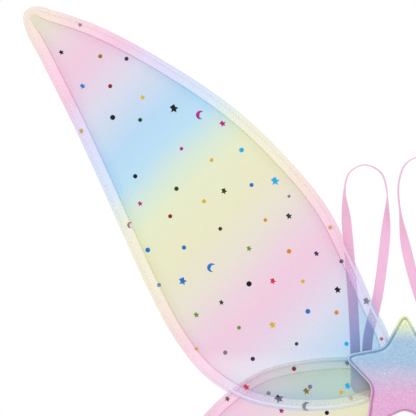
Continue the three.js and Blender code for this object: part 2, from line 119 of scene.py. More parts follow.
# Every foil motif on the upper left wing, as (x, z, shape, colour, size across). The other wings' motifs
# are drawn at random in SMALL_COLOURS.
MOTIFS = [
    (-184, 213, "star", "black", 7.5), (-163, 208, "moon", "magenta", 7), (-145, 201, "star", "magenta", 5.5),
    (-103, 155, "star", "cyan", 7.5), (-144, 147, "star", "bottle", 5.5), (-92, 127, "star", "bottle", 5.5),
    (-154, 86, "moon", "blue", 7), (-177, 75, "star", "blue", 7), (-105, 75, "star", "red", 5.5),
    (-53, 68, "star", "black", 6), (-105, 40, "star", "gold", 6), (-166, 48, "star", "green", 5),
    (-45, -9, "star", "cyan", 6), (-126, -10, "star", "red", 6), (-100, -19, "star", "black", 7.5),
    (-78, -25, "moon", "grey", 7), (-30, 59, "star", "grey", 6.5), (-78, -13, "star", "olive", 6),
    (-274, 258, "star", "black", 4.5), (-257, 231, "star", "blue", 5), (-209, 222, "star", "gold", 4.8),
    (-211, 137, "star", "magenta", 4.5), (-124, 101, "star", "green", 4.8), (-70, 97, "star", "violet", 4.8),
    (-146, 58, "star", "bottle", 4.5), (-50, -14, "star", "gold", 4.5), (-219, 120, "moon", "magenta", 5),
    (-258, 195, "star", "gold", 5), (-259, 280, "star", "grey", 4), (-243, 255, "dot", "olive", 3.4),
    (-222, 253, "dot", "violet", 3.4), (-235, 231, "dot", "wine", 3.4), (-233, 206, "dot", "black", 4.2),
    (-211, 204, "dot", "bottle", 3.4), (-178, 181, "dot", "magenta", 3), (-130, 180, "dot", "cyan", 4),
    (-154, 172, "dot", "gold", 3.2), (-215, 159, "dot", "black", 3.6), (-182, 149, "dot", "bottle", 3.6),
    (-122, 152, "dot", "blue", 3.4), (-160, 139, "dot", "gold", 3.4), (-187, 127, "dot", "wine", 3.4),
    (-147, 117, "dot", "bottle", 3.2), (-111, 124, "dot", "amber", 3), (-205, 100, "dot", "blue", 4),
    (-176, 102, "dot", "blue", 3.6), (-92, 99, "dot", "amber", 3.8), (-124, 73, "dot", "black", 4.4),
    (-196, 72, "dot", "blue", 3.2), (-132, 38, "dot", "green", 3.2), (-166, 21, "dot", "gold", 3),
    (-143, 18, "dot", "grey", 3.6), (-121, 13, "dot", "violet", 3.6), (-81, 75, "dot", "gold", 3.2),
    (-77, 51, "dot", "blue", 4), (-54, 50, "dot", "amber", 3.6), (-86, 25, "dot", "bottle", 3),
    (-46, 25, "dot", "cyan", 3.6), (-88, 5, "dot", "wine", 3.6), (-50, 91, "dot", "violet", 3.4),
    (-59, 118, "dot", "gold", 3.4), (-92, 143, "dot", "grey", 2.6), (-18, 29, "dot", "red", 3),
    (-154, -3, "dot", "gold", 3), (-139, -17, "dot", "grey", 3.6), (-103, 182, "dot", "grey", 3.4),
]
FOIL = {
    "black": "#08040c", "gold": "#cba82a", "amber": "#cc7f22", "green": "#5c8f2c", "blue": "#1f6cb8",
    "magenta": "#a3187c", "red": "#cc2740", "cyan": "#17a6dc", "bottle": "#1c3a14", "grey": "#77727c",
    "olive": "#7a6f22", "violet": "#35204f", "wine": "#7a1424",
}
SMALL_COLOURS = ["black", "gold", "green", "blue", "magenta", "red", "cyan", "bottle", "olive", "violet",
                 "wine", "amber", "black", "gold"]

# The print's pastel bands: share of one repeat, colour of the sheer cloth, colour of the folded hem.
BANDS = [
    (0.00, "#edcadd", "#f5dde8"), (0.07, "#e8cde0", "#f1d8e6"), (0.17, "#dad9e9", "#e8e2f2"),
    (0.32, "#b8d8f0", "#dfe8f5"), (0.41, "#bbddf0", "#e1ebf3"), (0.50, "#d6e6d6", "#ebefe4"),
    (0.58, "#e4e8c8", "#f0eee0"), (0.72, "#e6e4c5", "#f1eee0"), (0.84, "#e6dfd2", "#f3e8e2"),
    (0.93, "#e9d1dd", "#f4e0e7"), (1.00, "#edcadd", "#f5dde8"),
]

# How the bands run on each tier: what a metre outwards and a metre upwards count for along the print,
# and where a repeat starts.
BAND_RUN = {"upper": (-0.697, -0.717, 0.3636), "lower": (0.8, -0.6, 0.117)}

# The lights, as (name, place, size, power in watts), and the point they face.
LIGHTS = [
    ("key", (-1.4, -1.9, 1.9), 1.2, 19), ("fill", (1.8, -1.6, 0.6), 1.6, 8),
    ("back", (0.4, 2.0, 1.4), 1.6, 16),
]
LIT_POINT = (-0.05, 0, 0.06)


def linear(code):
    """A hex sRGB colour as linear RGBA."""
    parts = [int(code[i : i + 2], 16) / 255 for i in (1, 3, 5)]
    values = [c / 12.92 if c <= 0.04045 else ((c + 0.055) / 1.055) ** 2.4 for c in parts]
    return (*values, 1.0)


# ---- Sizes and colours a user would change ---------------------------------------------


def length(name, description, millimetres):
    """A setting for a length, with its default in millimetres."""
    return bpy.props.FloatProperty(
        name=name, description=description, default=millimetres * MM, min=0, unit="LENGTH", precision=5
    )


def coordinate(name, description, metres):
    """A setting for a place along an axis, which may be negative."""
    return bpy.props.FloatProperty(name=name, description=description, default=metres, unit="LENGTH")


def colour(name, description, code):
    """A setting for a colour, with its default as a hex code."""
    return bpy.props.FloatVectorProperty(
        name=name, description=description, default=linear(code), size=4, subtype="COLOR", min=0, max=1
    )


def share(name, description, value):
    """A setting between 0 and 1."""
    return bpy.props.FloatProperty(
        name=name, description=description, default=value, min=0, max=1, subtype="FACTOR"
    )


class WingSettings(bpy.types.PropertyGroup):
    """Sheer panels, hems, hoops and their stitching"""

    edge_step: length("Edge step", "Distance between points along a hem", 2.6)
    panel_cell: length("Panel cell", "Size of a sheer panel's mesh faces", 3.2)
    panel_tuck: length("Panel tuck", "Panel's edge, inside the wing's edge", 9.0)
    fullness: length("Fullness", "How far a panel billows", 2.4)
    pucker: length("Pucker", "Height of the small folds beside the hem", 0.35)
    wire_inset: length("Wire inset", "Hoop's middle, inside the wing's edge", 3)
    wire_radius: length("Wire radius", "Hoop wire's radius", 0.9)
    bend_start: length("Bend start", "Where a wing starts to bend, from the middle", 45.5)
    bend_end: length("Bend end", "Where a wing has bent fully, from the middle", 67)
    stitch_length: length("Stitch length", "Length of a stitch", 2.6)
    stitch_gap: length("Stitch gap", "Gap between stitches", 1.1)
    stitch_radius: length("Stitch radius", "Half of a stitch's width", 0.09)
    repeat: length("Print repeat", "Length of one repeat of the pastel bands", 240)
    weave: length("Weave", "Pitch of the net, coarser than the real 0.6 mm so that it shows", 1.9)
    cover: share("Cover", "Share of the light that the sheer cloth's threads stop", 0.26)
    hem_cover: share("Hem cover", "Share of the light that the folded hem stops", 0.5)


class ConfettiSettings(bpy.types.PropertyGroup):
    """Foil confetti on the sheer cloth"""

    pitch: length("Pitch", "Distance between small motifs", 22)
    dot: length("Dot", "Diameter of a small dot", 3.6)
    star: length("Star", "Size across of a small star", 4.8)
    thickness: length("Foil thickness", "Thickness of a foil motif's edge", 0.1)
    dome: length("Foil dome", "How far a stamped motif rises in its middle", 0.35)
    seed: bpy.props.IntProperty(name="Seed", description="Draws the small motifs", default=11)


class StarSettings(bpy.types.PropertyGroup):
    """The puffy star at the hub"""

    radius: length("Radius", "From the middle to a tip before it is rounded", 52.5)
    notch_radius: length("Notch radius", "From the middle to a notch", 27.5)
    tip_rounding: share("Tip rounding", "Share of each edge that a tip's curve takes", 0.3)
    notch_rounding: share("Notch rounding", "Share of each edge that a notch's curve takes", 0.16)
    rim: length("Rim", "Width of the flat sewn rim", 2)
    tip_colour: colour("Tip colour", "Glitter at the top tip", "#d6e0bc")
    arm_colour: colour("Arm colour", "Glitter across the arms", "#9abad6")
    middle_colour: colour("Middle colour", "Glitter across the middle", "#c0b6d4")
    leg_colour: colour("Leg colour", "Glitter on the legs", "#d9a4cc")


class HubSettings(bpy.types.PropertyGroup):
    """Back pad, plates and arm loops"""

    pad_corner: length("Pad corner", "Corner radius of the back pad", 9)
    piping_radius: length("Piping radius", "Radius of the cord in the pad's seam", 1.1)
    plate_corner: length("Plate corner", "Corner radius of the hub's plates", 8)
    strap_width: length("Strap width", "Width of the elastic", 8)
    strap_thickness: length("Strap thickness", "Thickness of the elastic", 0.9)
    strap_step: length("Strap step", "Distance between points along the elastic", 2.2)
    pad_colour: colour("Pad colour", "Brushed cloth of the back pad", "#e3a9cd")
    strap_colour: colour("Strap colour", "Woven elastic", "#e5b3d1")
    board_colour: colour("Board colour", "Stiff plates at the hub", "#f2a583")


class StageSettings(bpy.types.PropertyGroup):
    """Camera, floor and lights"""

    distance: length("Distance", "From the camera to the wings' plane", 1600)
    view_width: length("View width", "Width of the view at the wings' plane", 332.8)
    centre_x: coordinate("Centre X", "View's middle", -0.1568)
    centre_z: coordinate("Centre Z", "View's middle", 0.1336)
    floor_radius: length("Floor radius", "Radius of the round floor", 3000)
    floor_height: coordinate("Floor height", "Height of the floor", -0.40)
    floor_colour: colour("Floor colour", "Pale floor", "#faf9f8")


# ---- Lines and outlines ----------------------------------------------------------------


def smooth_curve(points, samples, closed=True):
    """Points on a centripetal Catmull-Rom curve through the given ones."""
    p = np.array(points, float)
    count = len(p)
    if closed:
        p = np.vstack([p[-1], p, p[:2]])
    else:
        p = np.vstack([2 * p[0] - p[1], p, 2 * p[-1] - p[-2]])
    out = []
    t = np.arange(samples)[:, None] / samples
    for i in range(count if closed else count - 1):
        a, b, c, d = p[i : i + 4]
        ab, bc, cd = (max(np.linalg.norm(v), 1e-9) ** 0.5 for v in (b - a, c - b, d - c))
        m0 = ((b - a) / ab - (c - a) / (ab + bc) + (c - b) / bc) * bc
        m1 = ((c - b) / bc - (d - b) / (bc + cd) + (d - c) / cd) * bc
        out.append(
            b + t * m0 + t**2 * (3 * (c - b) - 2 * m0 - m1) + t**3 * (2 * (b - c) + m0 + m1)
        )
    return np.vstack(out if closed else [*out, p[-2][None]])


def even_steps(line, step, closed=True):
    """The same line with its points about step apart."""
    ring = np.vstack([line, line[:1]]) if closed else line
    along = np.r_[0, np.cumsum(np.linalg.norm(np.diff(ring, axis=0), axis=1))]
    count = max(8, round(along[-1] / step))
    marks = np.linspace(0, along[-1], count + 1)
    out = np.stack([np.interp(marks, along, ring[:, k]) for k in range(ring.shape[1])], axis=1)
    return out[:-1] if closed else out


def inward(line):
    """Unit vectors across a closed flat line, towards its inside, and the line's turning radius."""
    ahead = np.roll(line, -1, axis=0) - line
    ahead /= np.linalg.norm(ahead, axis=1)[:, None]
    behind = np.roll(ahead, 1, axis=0)
    tangent = ahead + behind
    tangent /= np.linalg.norm(tangent, axis=1)[:, None]
    area = np.sum(line[:, 0] * np.roll(line[:, 1], -1) - np.roll(line[:, 0], -1) * line[:, 1])
    normal = np.stack([-tangent[:, 1], tangent[:, 0]], axis=1) * np.sign(area)
    turn = (behind[:, 0] * ahead[:, 1] - behind[:, 1] * ahead[:, 0]) * np.sign(area)
    step = np.linalg.norm(line - np.roll(line, 1, axis=0), axis=1)
    radius = step / np.maximum(turn, 1e-6)
    return normal, radius


def inset_line(line, distance, reach=0.010):
    """The closed line moved inwards, by less where it turns so tightly that it would cross itself."""
    normal, radius = inward(line)
    step = np.linalg.norm(line[1] - line[0])
    window = max(1, round(reach / step))
    tightest = np.min([np.roll(radius, k) for k in range(-window, window + 1)], axis=0)
    limit = np.minimum(0.8 * tightest, 1.0)
    kernel = np.hanning(2 * window + 3)[1:-1]
    capped = np.minimum(distance, limit)
    smooth = sum(w * np.roll(capped, k) for w, k in zip(kernel, range(-window, window + 1)))
    return line + normal * (smooth / kernel.sum())[:, None]


def wing_line(tier, side, step):
    """A wing's edge as points in the x-z plane, in metres."""
    points = [(side * x * MM, z * MM) for x, z in EDGES[tier]]
    return even_steps(smooth_curve(points, 24), step)


def inside_and_distance(points, line):
    """For flat points: which lie inside the closed line, and each one's distance from it."""
    start, end = line, np.roll(line, -1, axis=0)
    inside = np.zeros(len(points), bool)
    nearest = np.full(len(points), 1e9)
    for a, b in zip(start, end):
        crosses = (a[1] > points[:, 1]) != (b[1] > points[:, 1])
        rise = b[1] - a[1] if b[1] != a[1] else 1e-12
        inside ^= crosses & (points[:, 0] < (b[0] - a[0]) * (points[:, 1] - a[1]) / rise + a[0])
        along = b - a
        t = np.clip((points - a) @ along / (along @ along), 0, 1)
        nearest = np.minimum(nearest, np.linalg.norm(points - a - t[:, None] * along, axis=1))
    return inside, nearest


def layer_y(tier):
    """Depth of a wing's middle plane."""
    low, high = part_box(f"{tier}_left_mesh")
    return (low.y + high.y) / 2


# ---- Meshes ----------------------------------------------------------------------------


def deselect():
    """Leaves edit mode with nothing selected."""
    if bpy.context.mode != "OBJECT":
        bpy.ops.object.mode_set(mode="OBJECT")
    bpy.ops.object.select_all(action="DESELECT")


def only(piece):
    """Makes piece the one selected and active object."""
    deselect()
    piece.hide_set(False)
    piece.select_set(True)
    bpy.context.view_layer.objects.active = piece


def started(name):
    """The primitive that was just added, named and alone in the selection."""
    piece = bpy.context.object
    piece.name = name
    piece.data.name = name
    only(piece)
    return piece


def place(piece):
    """Moves the object's place into its mesh."""
    only(piece)
    bpy.ops.object.transform_apply(location=True, rotation=True, scale=True)


def applied(piece, kind, **settings):
    """Adds a modifier and applies it."""
    only(piece)
    modifier = piece.modifiers.new(kind.lower(), kind)
    for key, value in settings.items():
        setattr(modifier, key, value)
    bpy.ops.object.modifier_apply(modifier=modifier.name)


def points_of(piece):
    """A mesh's points as an array, in metres."""
    co = np.zeros(len(piece.data.vertices) * 3, np.float32)
    piece.data.vertices.foreach_get("co", co)
    return co.reshape(-1, 3).astype(float)


def set_points(piece, co):
    """Moves a mesh's points to the rows of an array."""
    piece.data.vertices.foreach_set("co", np.asarray(co, np.float32).ravel())
    piece.data.update()


def store(piece, name, kind, key, values):
    """Gives each point of a piece a value that its material reads by name."""
    attribute = piece.data.attributes.new(name, kind, "POINT")
    attribute.data.foreach_set(key, np.asarray(values, np.float32).ravel())


def face_out(piece):
    """Turns all faces outwards."""
    only(piece)
    bpy.ops.object.mode_set(mode="EDIT")
    bpy.ops.mesh.select_all(action="SELECT")
    bpy.ops.mesh.normals_make_consistent(inside=False)
    bpy.ops.object.mode_set(mode="OBJECT")


def smooth_faces(piece, angle=None):
    """Smooth shading, broken at edges sharper than angle in degrees where one is given."""
    only(piece)
    if angle is None:
        bpy.ops.object.shade_smooth()
    else:
        bpy.ops.object.shade_smooth_by_angle(angle=math.radians(angle))


def loft(name, rings, closed=False):
    """A circle extruded ring by ring. closed joins the last ring to the first, and otherwise both ends
    are filled. The UV map holds real lengths: u along a ring and v from ring to ring.
    """
    rings = [np.asarray(ring, float) for ring in rings]
    count = len(rings[0])
    deselect()
    bpy.ops.mesh.primitive_circle_add(vertices=count, radius=1, fill_type="NOTHING" if closed else "NGON")
    piece = started(name)
    set_points(piece, rings[0])
    bpy.ops.object.mode_set(mode="EDIT")
    bpy.ops.mesh.select_mode(type="EDGE")
    bpy.ops.mesh.select_all(action="SELECT")
    if not closed:
        bpy.ops.mesh.select_mode(type="FACE")
        bpy.ops.mesh.select_all(action="SELECT")
    for ring in rings[1:]:
        if closed:
            bpy.ops.mesh.extrude_edges_move()
        else:
            bpy.ops.mesh.extrude_region_move()
        mesh = bmesh.from_edit_mesh(piece.data)
        moved = [v for v in mesh.verts if v.select]
        for vertex, point in zip(moved, ring):
            vertex.co = point
        bmesh.update_edit_mesh(piece.data)
    if closed:
        bpy.ops.mesh.select_mode(type="VERT")
        mesh = bmesh.from_edit_mesh(piece.data)
        for i, vertex in enumerate(mesh.verts):
            vertex.select = i < count or i >= len(mesh.verts) - count
        mesh.select_flush_mode()
        bmesh.update_edit_mesh(piece.data)
        bpy.ops.mesh.select_mode(type="EDGE")
        bpy.ops.mesh.bridge_edge_loops()
    bpy.ops.object.mode_set(mode="OBJECT")
    face_out(piece)
    map_lengths(piece, rings, closed)
    return piece


def map_lengths(piece, rings, closed):
    """A UV map in metres for a loft whose vertices are stored ring by ring."""
    count = len(rings[0])
    first = np.vstack([rings[0], rings[0][:1]])
    along = np.r_[0, np.cumsum(np.linalg.norm(np.diff(first, axis=0), axis=1))]
    between = [np.linalg.norm(b - a, axis=1).mean() for a, b in zip(rings, rings[1:])]
    across = np.r_[0, np.cumsum(between)]
    last = across[-1] + (np.linalg.norm(rings[0] - rings[-1], axis=1).mean() if closed else 0)
    layer = piece.data.uv_layers.active or piece.data.uv_layers.new(name="lengths")
    for polygon in piece.data.polygons:
        numbers = [piece.data.loops[i].vertex_index for i in polygon.loop_indices]
        columns = [n % count for n in numbers]
        rows = [n // count for n in numbers]
        wraps = max(columns) - min(columns) > count / 2
        closes = closed and max(rows) - min(rows) > 1
        for loop, column, row in zip(polygon.loop_indices, columns, rows):
            u = along[count] if wraps and column == 0 else along[column]
            v = last if closes and row == 0 else across[min(row, len(across) - 1)]
            layer.data[loop].uv = (u, v)


def upright(flat, y):
    """Flat (x, z) points at depth y."""
    return np.stack([flat[:, 0], np.full(len(flat), y), flat[:, 1]], axis=1)


def cord(name, line, normal, radius, y):
    """A round cord along a closed flat line at depth y, with the line's unit normals."""
    rings = []
    for k in range(10):
        angle = 2 * math.pi * k / 10
        flat = line + normal * radius * math.cos(angle)
        rings.append(upright(flat, y + radius * math.sin(angle)))
    piece = loft(name, rings, closed=True)
    smooth_faces(piece)
    return piece


def flat_piece(name, line, y_front, y_back, bevel=0.0):
    """A flat outline with a thickness and softened edges."""
    piece = loft(name, [upright(line, y_front), upright(line, y_back)])
    if bevel:
        applied(piece, "BEVEL", width=bevel, segments=3, limit_method="ANGLE", angle_limit=math.radians(50))
    return piece


def as_template(piece):
    """The mesh of a piece as arrays, to be copied. The piece itself is removed."""
    template = points_of(piece), [list(p.vertices) for p in piece.data.polygons]
    bpy.data.objects.remove(piece)
    return template


def joined(name, templates):
    """One mesh of several templates."""
    verts = np.vstack([v for v, _ in templates])
    offsets = np.cumsum([0] + [len(v) for v, _ in templates])
    faces = [[n + offset for n in face] for (_, fs), offset in zip(templates, offsets) for face in fs]
    mesh = bpy.data.meshes.new(name)
    mesh.from_pydata(verts.tolist(), [], faces)
    piece = bpy.data.objects.new(name, mesh)
    bpy.context.scene.collection.objects.link(piece)
    return piece


def stitch_row(name, line3d, settings, facing):
    """Stitches laid end to end along a closed line of points."""
    deselect()
    bpy.ops.mesh.primitive_uv_sphere_add(segments=6, ring_count=4, radius=1)
    stitch = started("stitch")
    stitch.scale = (settings.stitch_length / 2, settings.stitch_radius, settings.stitch_radius * 0.8)
    place(stitch)
    verts, faces = as_template(stitch)
    marks = even_steps(line3d, settings.stitch_length + settings.stitch_gap)
    ahead = np.roll(marks, -1, axis=0) - marks
    stitches = []
    for position, along in zip(marks, ahead):
        x = along / np.linalg.norm(along)
        z = np.array(facing, float)
        z = z - (z @ x) * x
        z /= np.linalg.norm(z)
        y = np.cross(z, x)
        turn = np.stack([x, y, z], axis=1)
        stitches.append((verts @ turn.T + (position + along / 2), faces))
    return joined(name, stitches)


def swell(piece, pinned, pressure, cap):
    """Fills a closed cloth form: its pinned points stay, and no other point moves further than cap."""
    frames = 20
    before = points_of(piece)
    group = piece.vertex_groups.new(name="sewn")
    group.add([int(i) for i in np.flatnonzero(pinned)], 1.0, "REPLACE")
    only(piece)
    cloth = piece.modifiers.new("stuffing", "CLOTH")
    cloth.settings.quality = 6
    cloth.settings.mass = 0.15
    cloth.settings.tension_stiffness = 12
    cloth.settings.compression_stiffness = 12
    cloth.settings.shear_stiffness = 6
    cloth.settings.bending_stiffness = 0.4
    cloth.settings.use_pressure = True
    cloth.settings.uniform_pressure_force = pressure
    cloth.settings.effector_weights.gravity = 0
    cloth.settings.vertex_group_mass = "sewn"
    cloth.collision_settings.use_collision = False
    cloth.point_cache.frame_start = 1
    cloth.point_cache.frame_end = frames
    for number in range(1, frames + 1):
        bpy.context.scene.frame_set(number)
    bpy.ops.object.modifier_apply(modifier=cloth.name)
    bpy.context.scene.frame_set(1)
    moved = points_of(piece) - before
    size = np.linalg.norm(moved, axis=1)
    scale = np.minimum(1, cap / np.maximum(size, 1e-9))
    set_points(piece, before + moved * scale[:, None])
    piece.vertex_groups.clear()


# ---- Materials -------------------------------------------------------------------------


def node(tree, kind, *values, stops=(), **named):
    """Adds a node. values fill its inputs in order. Capitalised names are inputs too, and the others are
    the node's own settings. An input is a value, or a node or output socket to link. stops are a colour
    ramp's."""
    made = tree.nodes.new("ShaderNode" + kind)
    for key in [key for key in named if key[0].islower()]:
        setattr(made, key, named.pop(key))
    used = list(zip([socket for socket in made.inputs if socket.enabled], values))
    used += [(made.inputs[key.replace("_", " ")], value) for key, value in named.items()]
    for socket, value in used:
        if isinstance(value, bpy.types.Node):
            value = next(output for output in value.outputs if output.enabled)
        if isinstance(value, bpy.types.NodeSocket):
            tree.links.new(value, socket)
        else:
            socket.default_value = value
    for _ in stops[2:]:
        made.color_ramp.elements.new(1.0)
    for element, (position, value) in zip(made.color_ramp.elements if stops else (), stops):
        element.position = position
        element.color = value
    return made


def blank(name):
    """A new material and its empty node tree."""
    material = bpy.data.materials.new(name)
    material.use_nodes = True
    material.node_tree.nodes.clear()
    return material, material.node_tree


def toned(tree, colour, tone):
    """A colour made lighter or darker by a grey tone."""
    grey = node(tree, "CombineColor", Red=tone, Green=tone, Blue=tone)
    return node(tree, "Mix", 1.0, colour, grey, data_type="RGBA", blend_type="MULTIPLY")


def print_share(tree, tier, repeat):
    """Where a point lies in the printed bands' repeat, from 0 to 1, the same on both sides."""
    outwards, upwards, start = BAND_RUN[tier]
    waver = 0.018
    place_of = node(tree, "Attribute", attribute_name="rest_place").outputs["Vector"]
    axes = node(tree, "SeparateXYZ", Vector=place_of)
    out = node(tree, "Math", axes.outputs["X"], operation="ABSOLUTE")
    across = node(tree, "Math", out, outwards, operation="MULTIPLY")
    down = node(tree, "Math", axes.outputs["Z"], upwards, across, operation="MULTIPLY_ADD")
    wander = node(tree, "TexNoise", Vector=place_of, Scale=9.0, Detail=1.0)
    started_at = node(tree, "Math", down, start - waver / 2, operation="ADD")
    wavy = node(tree, "Math", wander, waver, started_at, operation="MULTIPLY_ADD")
    repeats = node(tree, "Math", wavy, repeat, operation="DIVIDE")
    return node(tree, "Math", repeats, operation="FRACT"), place_of


def hem_length():
    """Length round the hem's section."""
    front = np.array(HEM_SECTION) * MM
    side = np.linalg.norm(np.diff(front, axis=0), axis=1).sum()
    return 2 * side + 2 * front[-1, 1]


def dye_stops(hem, cover, layers):
    """Ramp stops for the dyed threads and for the light between them, which add up to the band's colour
    where white lies behind. cover is all the layers' together."""
    surface_cover = 1 - (1 - cover) ** (1 / layers)
    seen = surface_cover * sum((0.85 * (1 - surface_cover)) ** k for k in range(layers))
    threads, gaps = [], []
    for at, sheer, folded in BANDS:
        shown = np.array(linear(folded if hem else sheer)[:3])
        gap = shown**0.85
        thread = np.clip((shown - (1 - cover) * gap) / seen, 0.02, 0.97)
        threads.append((at, (*thread, 1)))
        gaps.append((at, (*gap ** (1 / layers), 1)))
    return surface_cover, threads, gaps


def sheer_cloth(tier, hem, settings):
    """Printed nylon net, dyed in pastel bands. White light passes between its threads with a breath of the
    dye, and the threads are dyed more deeply and glow a little from behind."""
    material, tree = blank(f"{tier} folded sheer hem" if hem else f"{tier} printed nylon net")
    position, place_of = print_share(tree, tier, settings.repeat)
    if hem:
        surface_cover, threads, gaps = dye_stops(True, settings.hem_cover, 2)
    else:
        surface_cover, threads, gaps = dye_stops(False, settings.cover, 1)
    dye = node(tree, "ValToRGB", position, stops=threads)
    between = node(tree, "ValToRGB", position, stops=gaps)
    between_deep = node(tree, "Gamma", Color=between, Gamma=1.5)
    turned = node(tree, "Mapping", Vector=place_of, Rotation=(0, math.radians(40), 0))
    axes = node(tree, "SeparateXYZ", Vector=turned)
    turns = 2 * math.pi / settings.weave
    along = node(tree, "Math", axes.outputs["X"], turns, operation="MULTIPLY")
    up = node(tree, "Math", axes.outputs["Z"], turns, operation="MULTIPLY")
    warp = node(tree, "Math", along, operation="SINE")
    weft = node(tree, "Math", up, operation="SINE")
    net = node(tree, "Math", warp, weft, operation="MAXIMUM")
    cloud = node(tree, "TexNoise", Vector=place_of, Scale=60.0, Detail=3.0)
    if hem:
        lengths = node(tree, "UVMap", uv_map="lengths")
        long_way = node(tree, "Mapping", Vector=lengths, Scale=(22, 1500, 1))
        streak = node(tree, "TexNoise", Vector=long_way, Scale=1.0, Detail=2.0)
        tone = node(tree, "Math", streak, 0.14, 0.93, operation="MULTIPLY_ADD")
        cover_share = node(tree, "Math", streak, 0.2, surface_cover - 0.1, operation="MULTIPLY_ADD")
        width = 0.5 * hem_length()
        plain_from, deep_within = width - 0.0065, width - 0.0045
        across = node(tree, "SeparateXYZ", Vector=lengths).outputs["Y"]
        off_middle = node(tree, "Math", across, width, operation="SUBTRACT")
        from_middle = node(tree, "Math", off_middle, operation="ABSOLUTE")
        deep_dye_and_shade = node(tree, "MapRange", from_middle, plain_from, deep_within, 0.0, 0.6)
    else:
        deep_dye_and_shade = node(tree, "Attribute", attribute_name="hem_shade").outputs["Fac"]
        tone = node(tree, "Math", cloud, 0.03, 0.985, operation="MULTIPLY_ADD")
        cover_share = node(tree, "Math", net, 0.009, surface_cover - 0.005, operation="MULTIPLY_ADD")
        cover_share = node(tree, "Math", cloud, 0.04, cover_share, operation="MULTIPLY_ADD")
    # Here the colour of the threads and of the light between them is deepened. On the hem, this is the deeper
    # dye of its doubled outer edge. On the net, it is a painted shade line beside the hem, which also stands
    # for dye gathered there.
    full = node(tree, "Gamma", Color=dye, Gamma=1.5)
    dyed = node(tree, "Mix", deep_dye_and_shade, dye, full, data_type="RGBA")
    tinted = toned(tree, dyed, tone)
    passing = node(tree, "Mix", deep_dye_and_shade, between, between_deep, data_type="RGBA")
    if tier == "upper":
        # the print runs out to a paler tint beside the hub, between these two heights
        printed_above, palest_below = 0.020, 0.008
        level = node(tree, "SeparateXYZ", Vector=place_of).outputs["Z"]
        faded = node(tree, "MapRange", level, printed_above, palest_below, 0.0, 0.22)
        tinted = node(tree, "Mix", faded, tinted, (0.9, 0.9, 0.9, 1), data_type="RGBA")
        passing = node(tree, "Mix", faded, passing, (1, 1, 1, 1), data_type="RGBA")
    low_net = node(tree, "Math", net, 0.12, operation="MULTIPLY")
    height = node(tree, "Math", low_net, cloud, operation="ADD")
    bump = node(tree, "Bump", Height=height, Strength=0.25, Distance=0.0002)
    threads = node(
        tree, "BsdfPrincipled", Base_Color=tinted, Roughness=0.7, Sheen_Weight=0.15, Sheen_Roughness=0.4,
        Specular_IOR_Level=0.25, Normal=bump,
    )
    glow = node(tree, "BsdfTranslucent", Color=tinted, Normal=bump)
    lit = node(tree, "MixShader", 0.5, threads, glow)
    holes = node(tree, "BsdfTransparent", Color=passing)
    surface = node(tree, "MixShader", cover_share, holes, lit)
    node(tree, "OutputMaterial", Surface=surface)
    return material


def dyed_thread(tier, settings):
    """Spun polyester thread that takes the hem's colours: matt, with its twist just visible."""
    material, tree = blank(f"{tier} hem thread")
    position, place_of = print_share(tree, tier, settings.repeat)
    dye = node(tree, "ValToRGB", position, stops=[(at, linear(folded)) for at, _, folded in BANDS])
    twist = node(tree, "TexNoise", Vector=place_of, Scale=2500.0, Detail=1.0)
    tone = node(tree, "Math", twist, 0.16, 0.9, operation="MULTIPLY_ADD")
    tinted = toned(tree, dye, tone)
    bump = node(tree, "Bump", Height=twist, Strength=0.3, Distance=0.0001)
    shader = node(tree, "BsdfPrincipled", Base_Color=tinted, Roughness=0.7, Sheen_Weight=0.3, Normal=bump)
    node(tree, "OutputMaterial", Surface=shader)
    return material


def foil():
    """Hot-stamped metal foil: mirror-bright, with a slight orange peel from the cloth under it."""
    material, tree = blank("confetti foil")
    tint = node(tree, "Attribute", attribute_name="foil").outputs["Color"]
    place_of = node(tree, "TexCoord").outputs["Object"]
    grain = node(tree, "TexNoise", Vector=place_of, Scale=900.0, Detail=2.0)
    bump = node(tree, "Bump", Height=grain, Strength=0.3, Distance=0.0002)
    rough = node(tree, "Math", grain, 0.2, 0.25, operation="MULTIPLY_ADD")
    shader = node(tree, "BsdfPrincipled", Base_Color=tint, Metallic=0.55, Roughness=rough, Normal=bump)
    node(tree, "OutputMaterial", Surface=shader)
    return material


def glitter_cloth(settings, name="glitter film on cloth", dim=1.0):
    """Fine hexagonal glitter bonded to cloth: each flake tilts its own way, so some flash and some fade. A
    few flakes also carry a painted white glint in their colour.
    """
    material, tree = blank(name)
    place_of = node(tree, "TexCoord").outputs["Object"]
    axes = node(tree, "SeparateXYZ", Vector=place_of)
    drift = node(tree, "TexNoise", Vector=place_of, Scale=40.0, Detail=2.0)
    lowered = node(tree, "Math", axes.outputs["Z"], -0.003, operation="ADD")
    height = node(tree, "Math", drift, 0.006, lowered, operation="MULTIPLY_ADD")
    level = node(tree, "Math", height, 10.0, 0.5, operation="MULTIPLY_ADD")
    stops = [
        (0.34, tuple(settings.leg_colour)), (0.49, tuple(settings.middle_colour)),
        (0.62, tuple(settings.arm_colour)), (0.77, tuple(settings.arm_colour)),
        (0.91, tuple(settings.tip_colour)),
    ]
    base = node(tree, "ValToRGB", level, stops=stops)
    flake_size = 0.0008
    flakes = node(tree, "TexVoronoi", Vector=place_of, Scale=1 / flake_size)
    random_value = node(tree, "SeparateColor", Color=flakes.outputs["Color"])
    tone = node(tree, "Math", random_value.outputs["Red"], 0.2, 0.865 * dim, operation="MULTIPLY_ADD")
    speckled = toned(tree, base, tone)
    # Painted glints: a few random flakes are mixed towards white in the base colour, standing in for flakes
    # that catch the light.
    bright = node(tree, "Math", random_value.outputs["Green"], 0.95, operation="GREATER_THAN")
    flash = node(tree, "Math", bright, 0.17, operation="MULTIPLY")
    with_painted_glints = node(tree, "Mix", flash, speckled, (1, 1, 1, 1), data_type="RGBA")
    tilt = random_value.outputs["Blue"]
    bump = node(tree, "Bump", Height=tilt, Strength=0.3, Distance=0.0002)
    shader = node(
        tree, "BsdfPrincipled", Base_Color=with_painted_glints, Metallic=0.25, Roughness=0.42, Coat_Weight=0.15,
        Normal=bump,
    )
    node(tree, "OutputMaterial", Surface=shader)
    return material


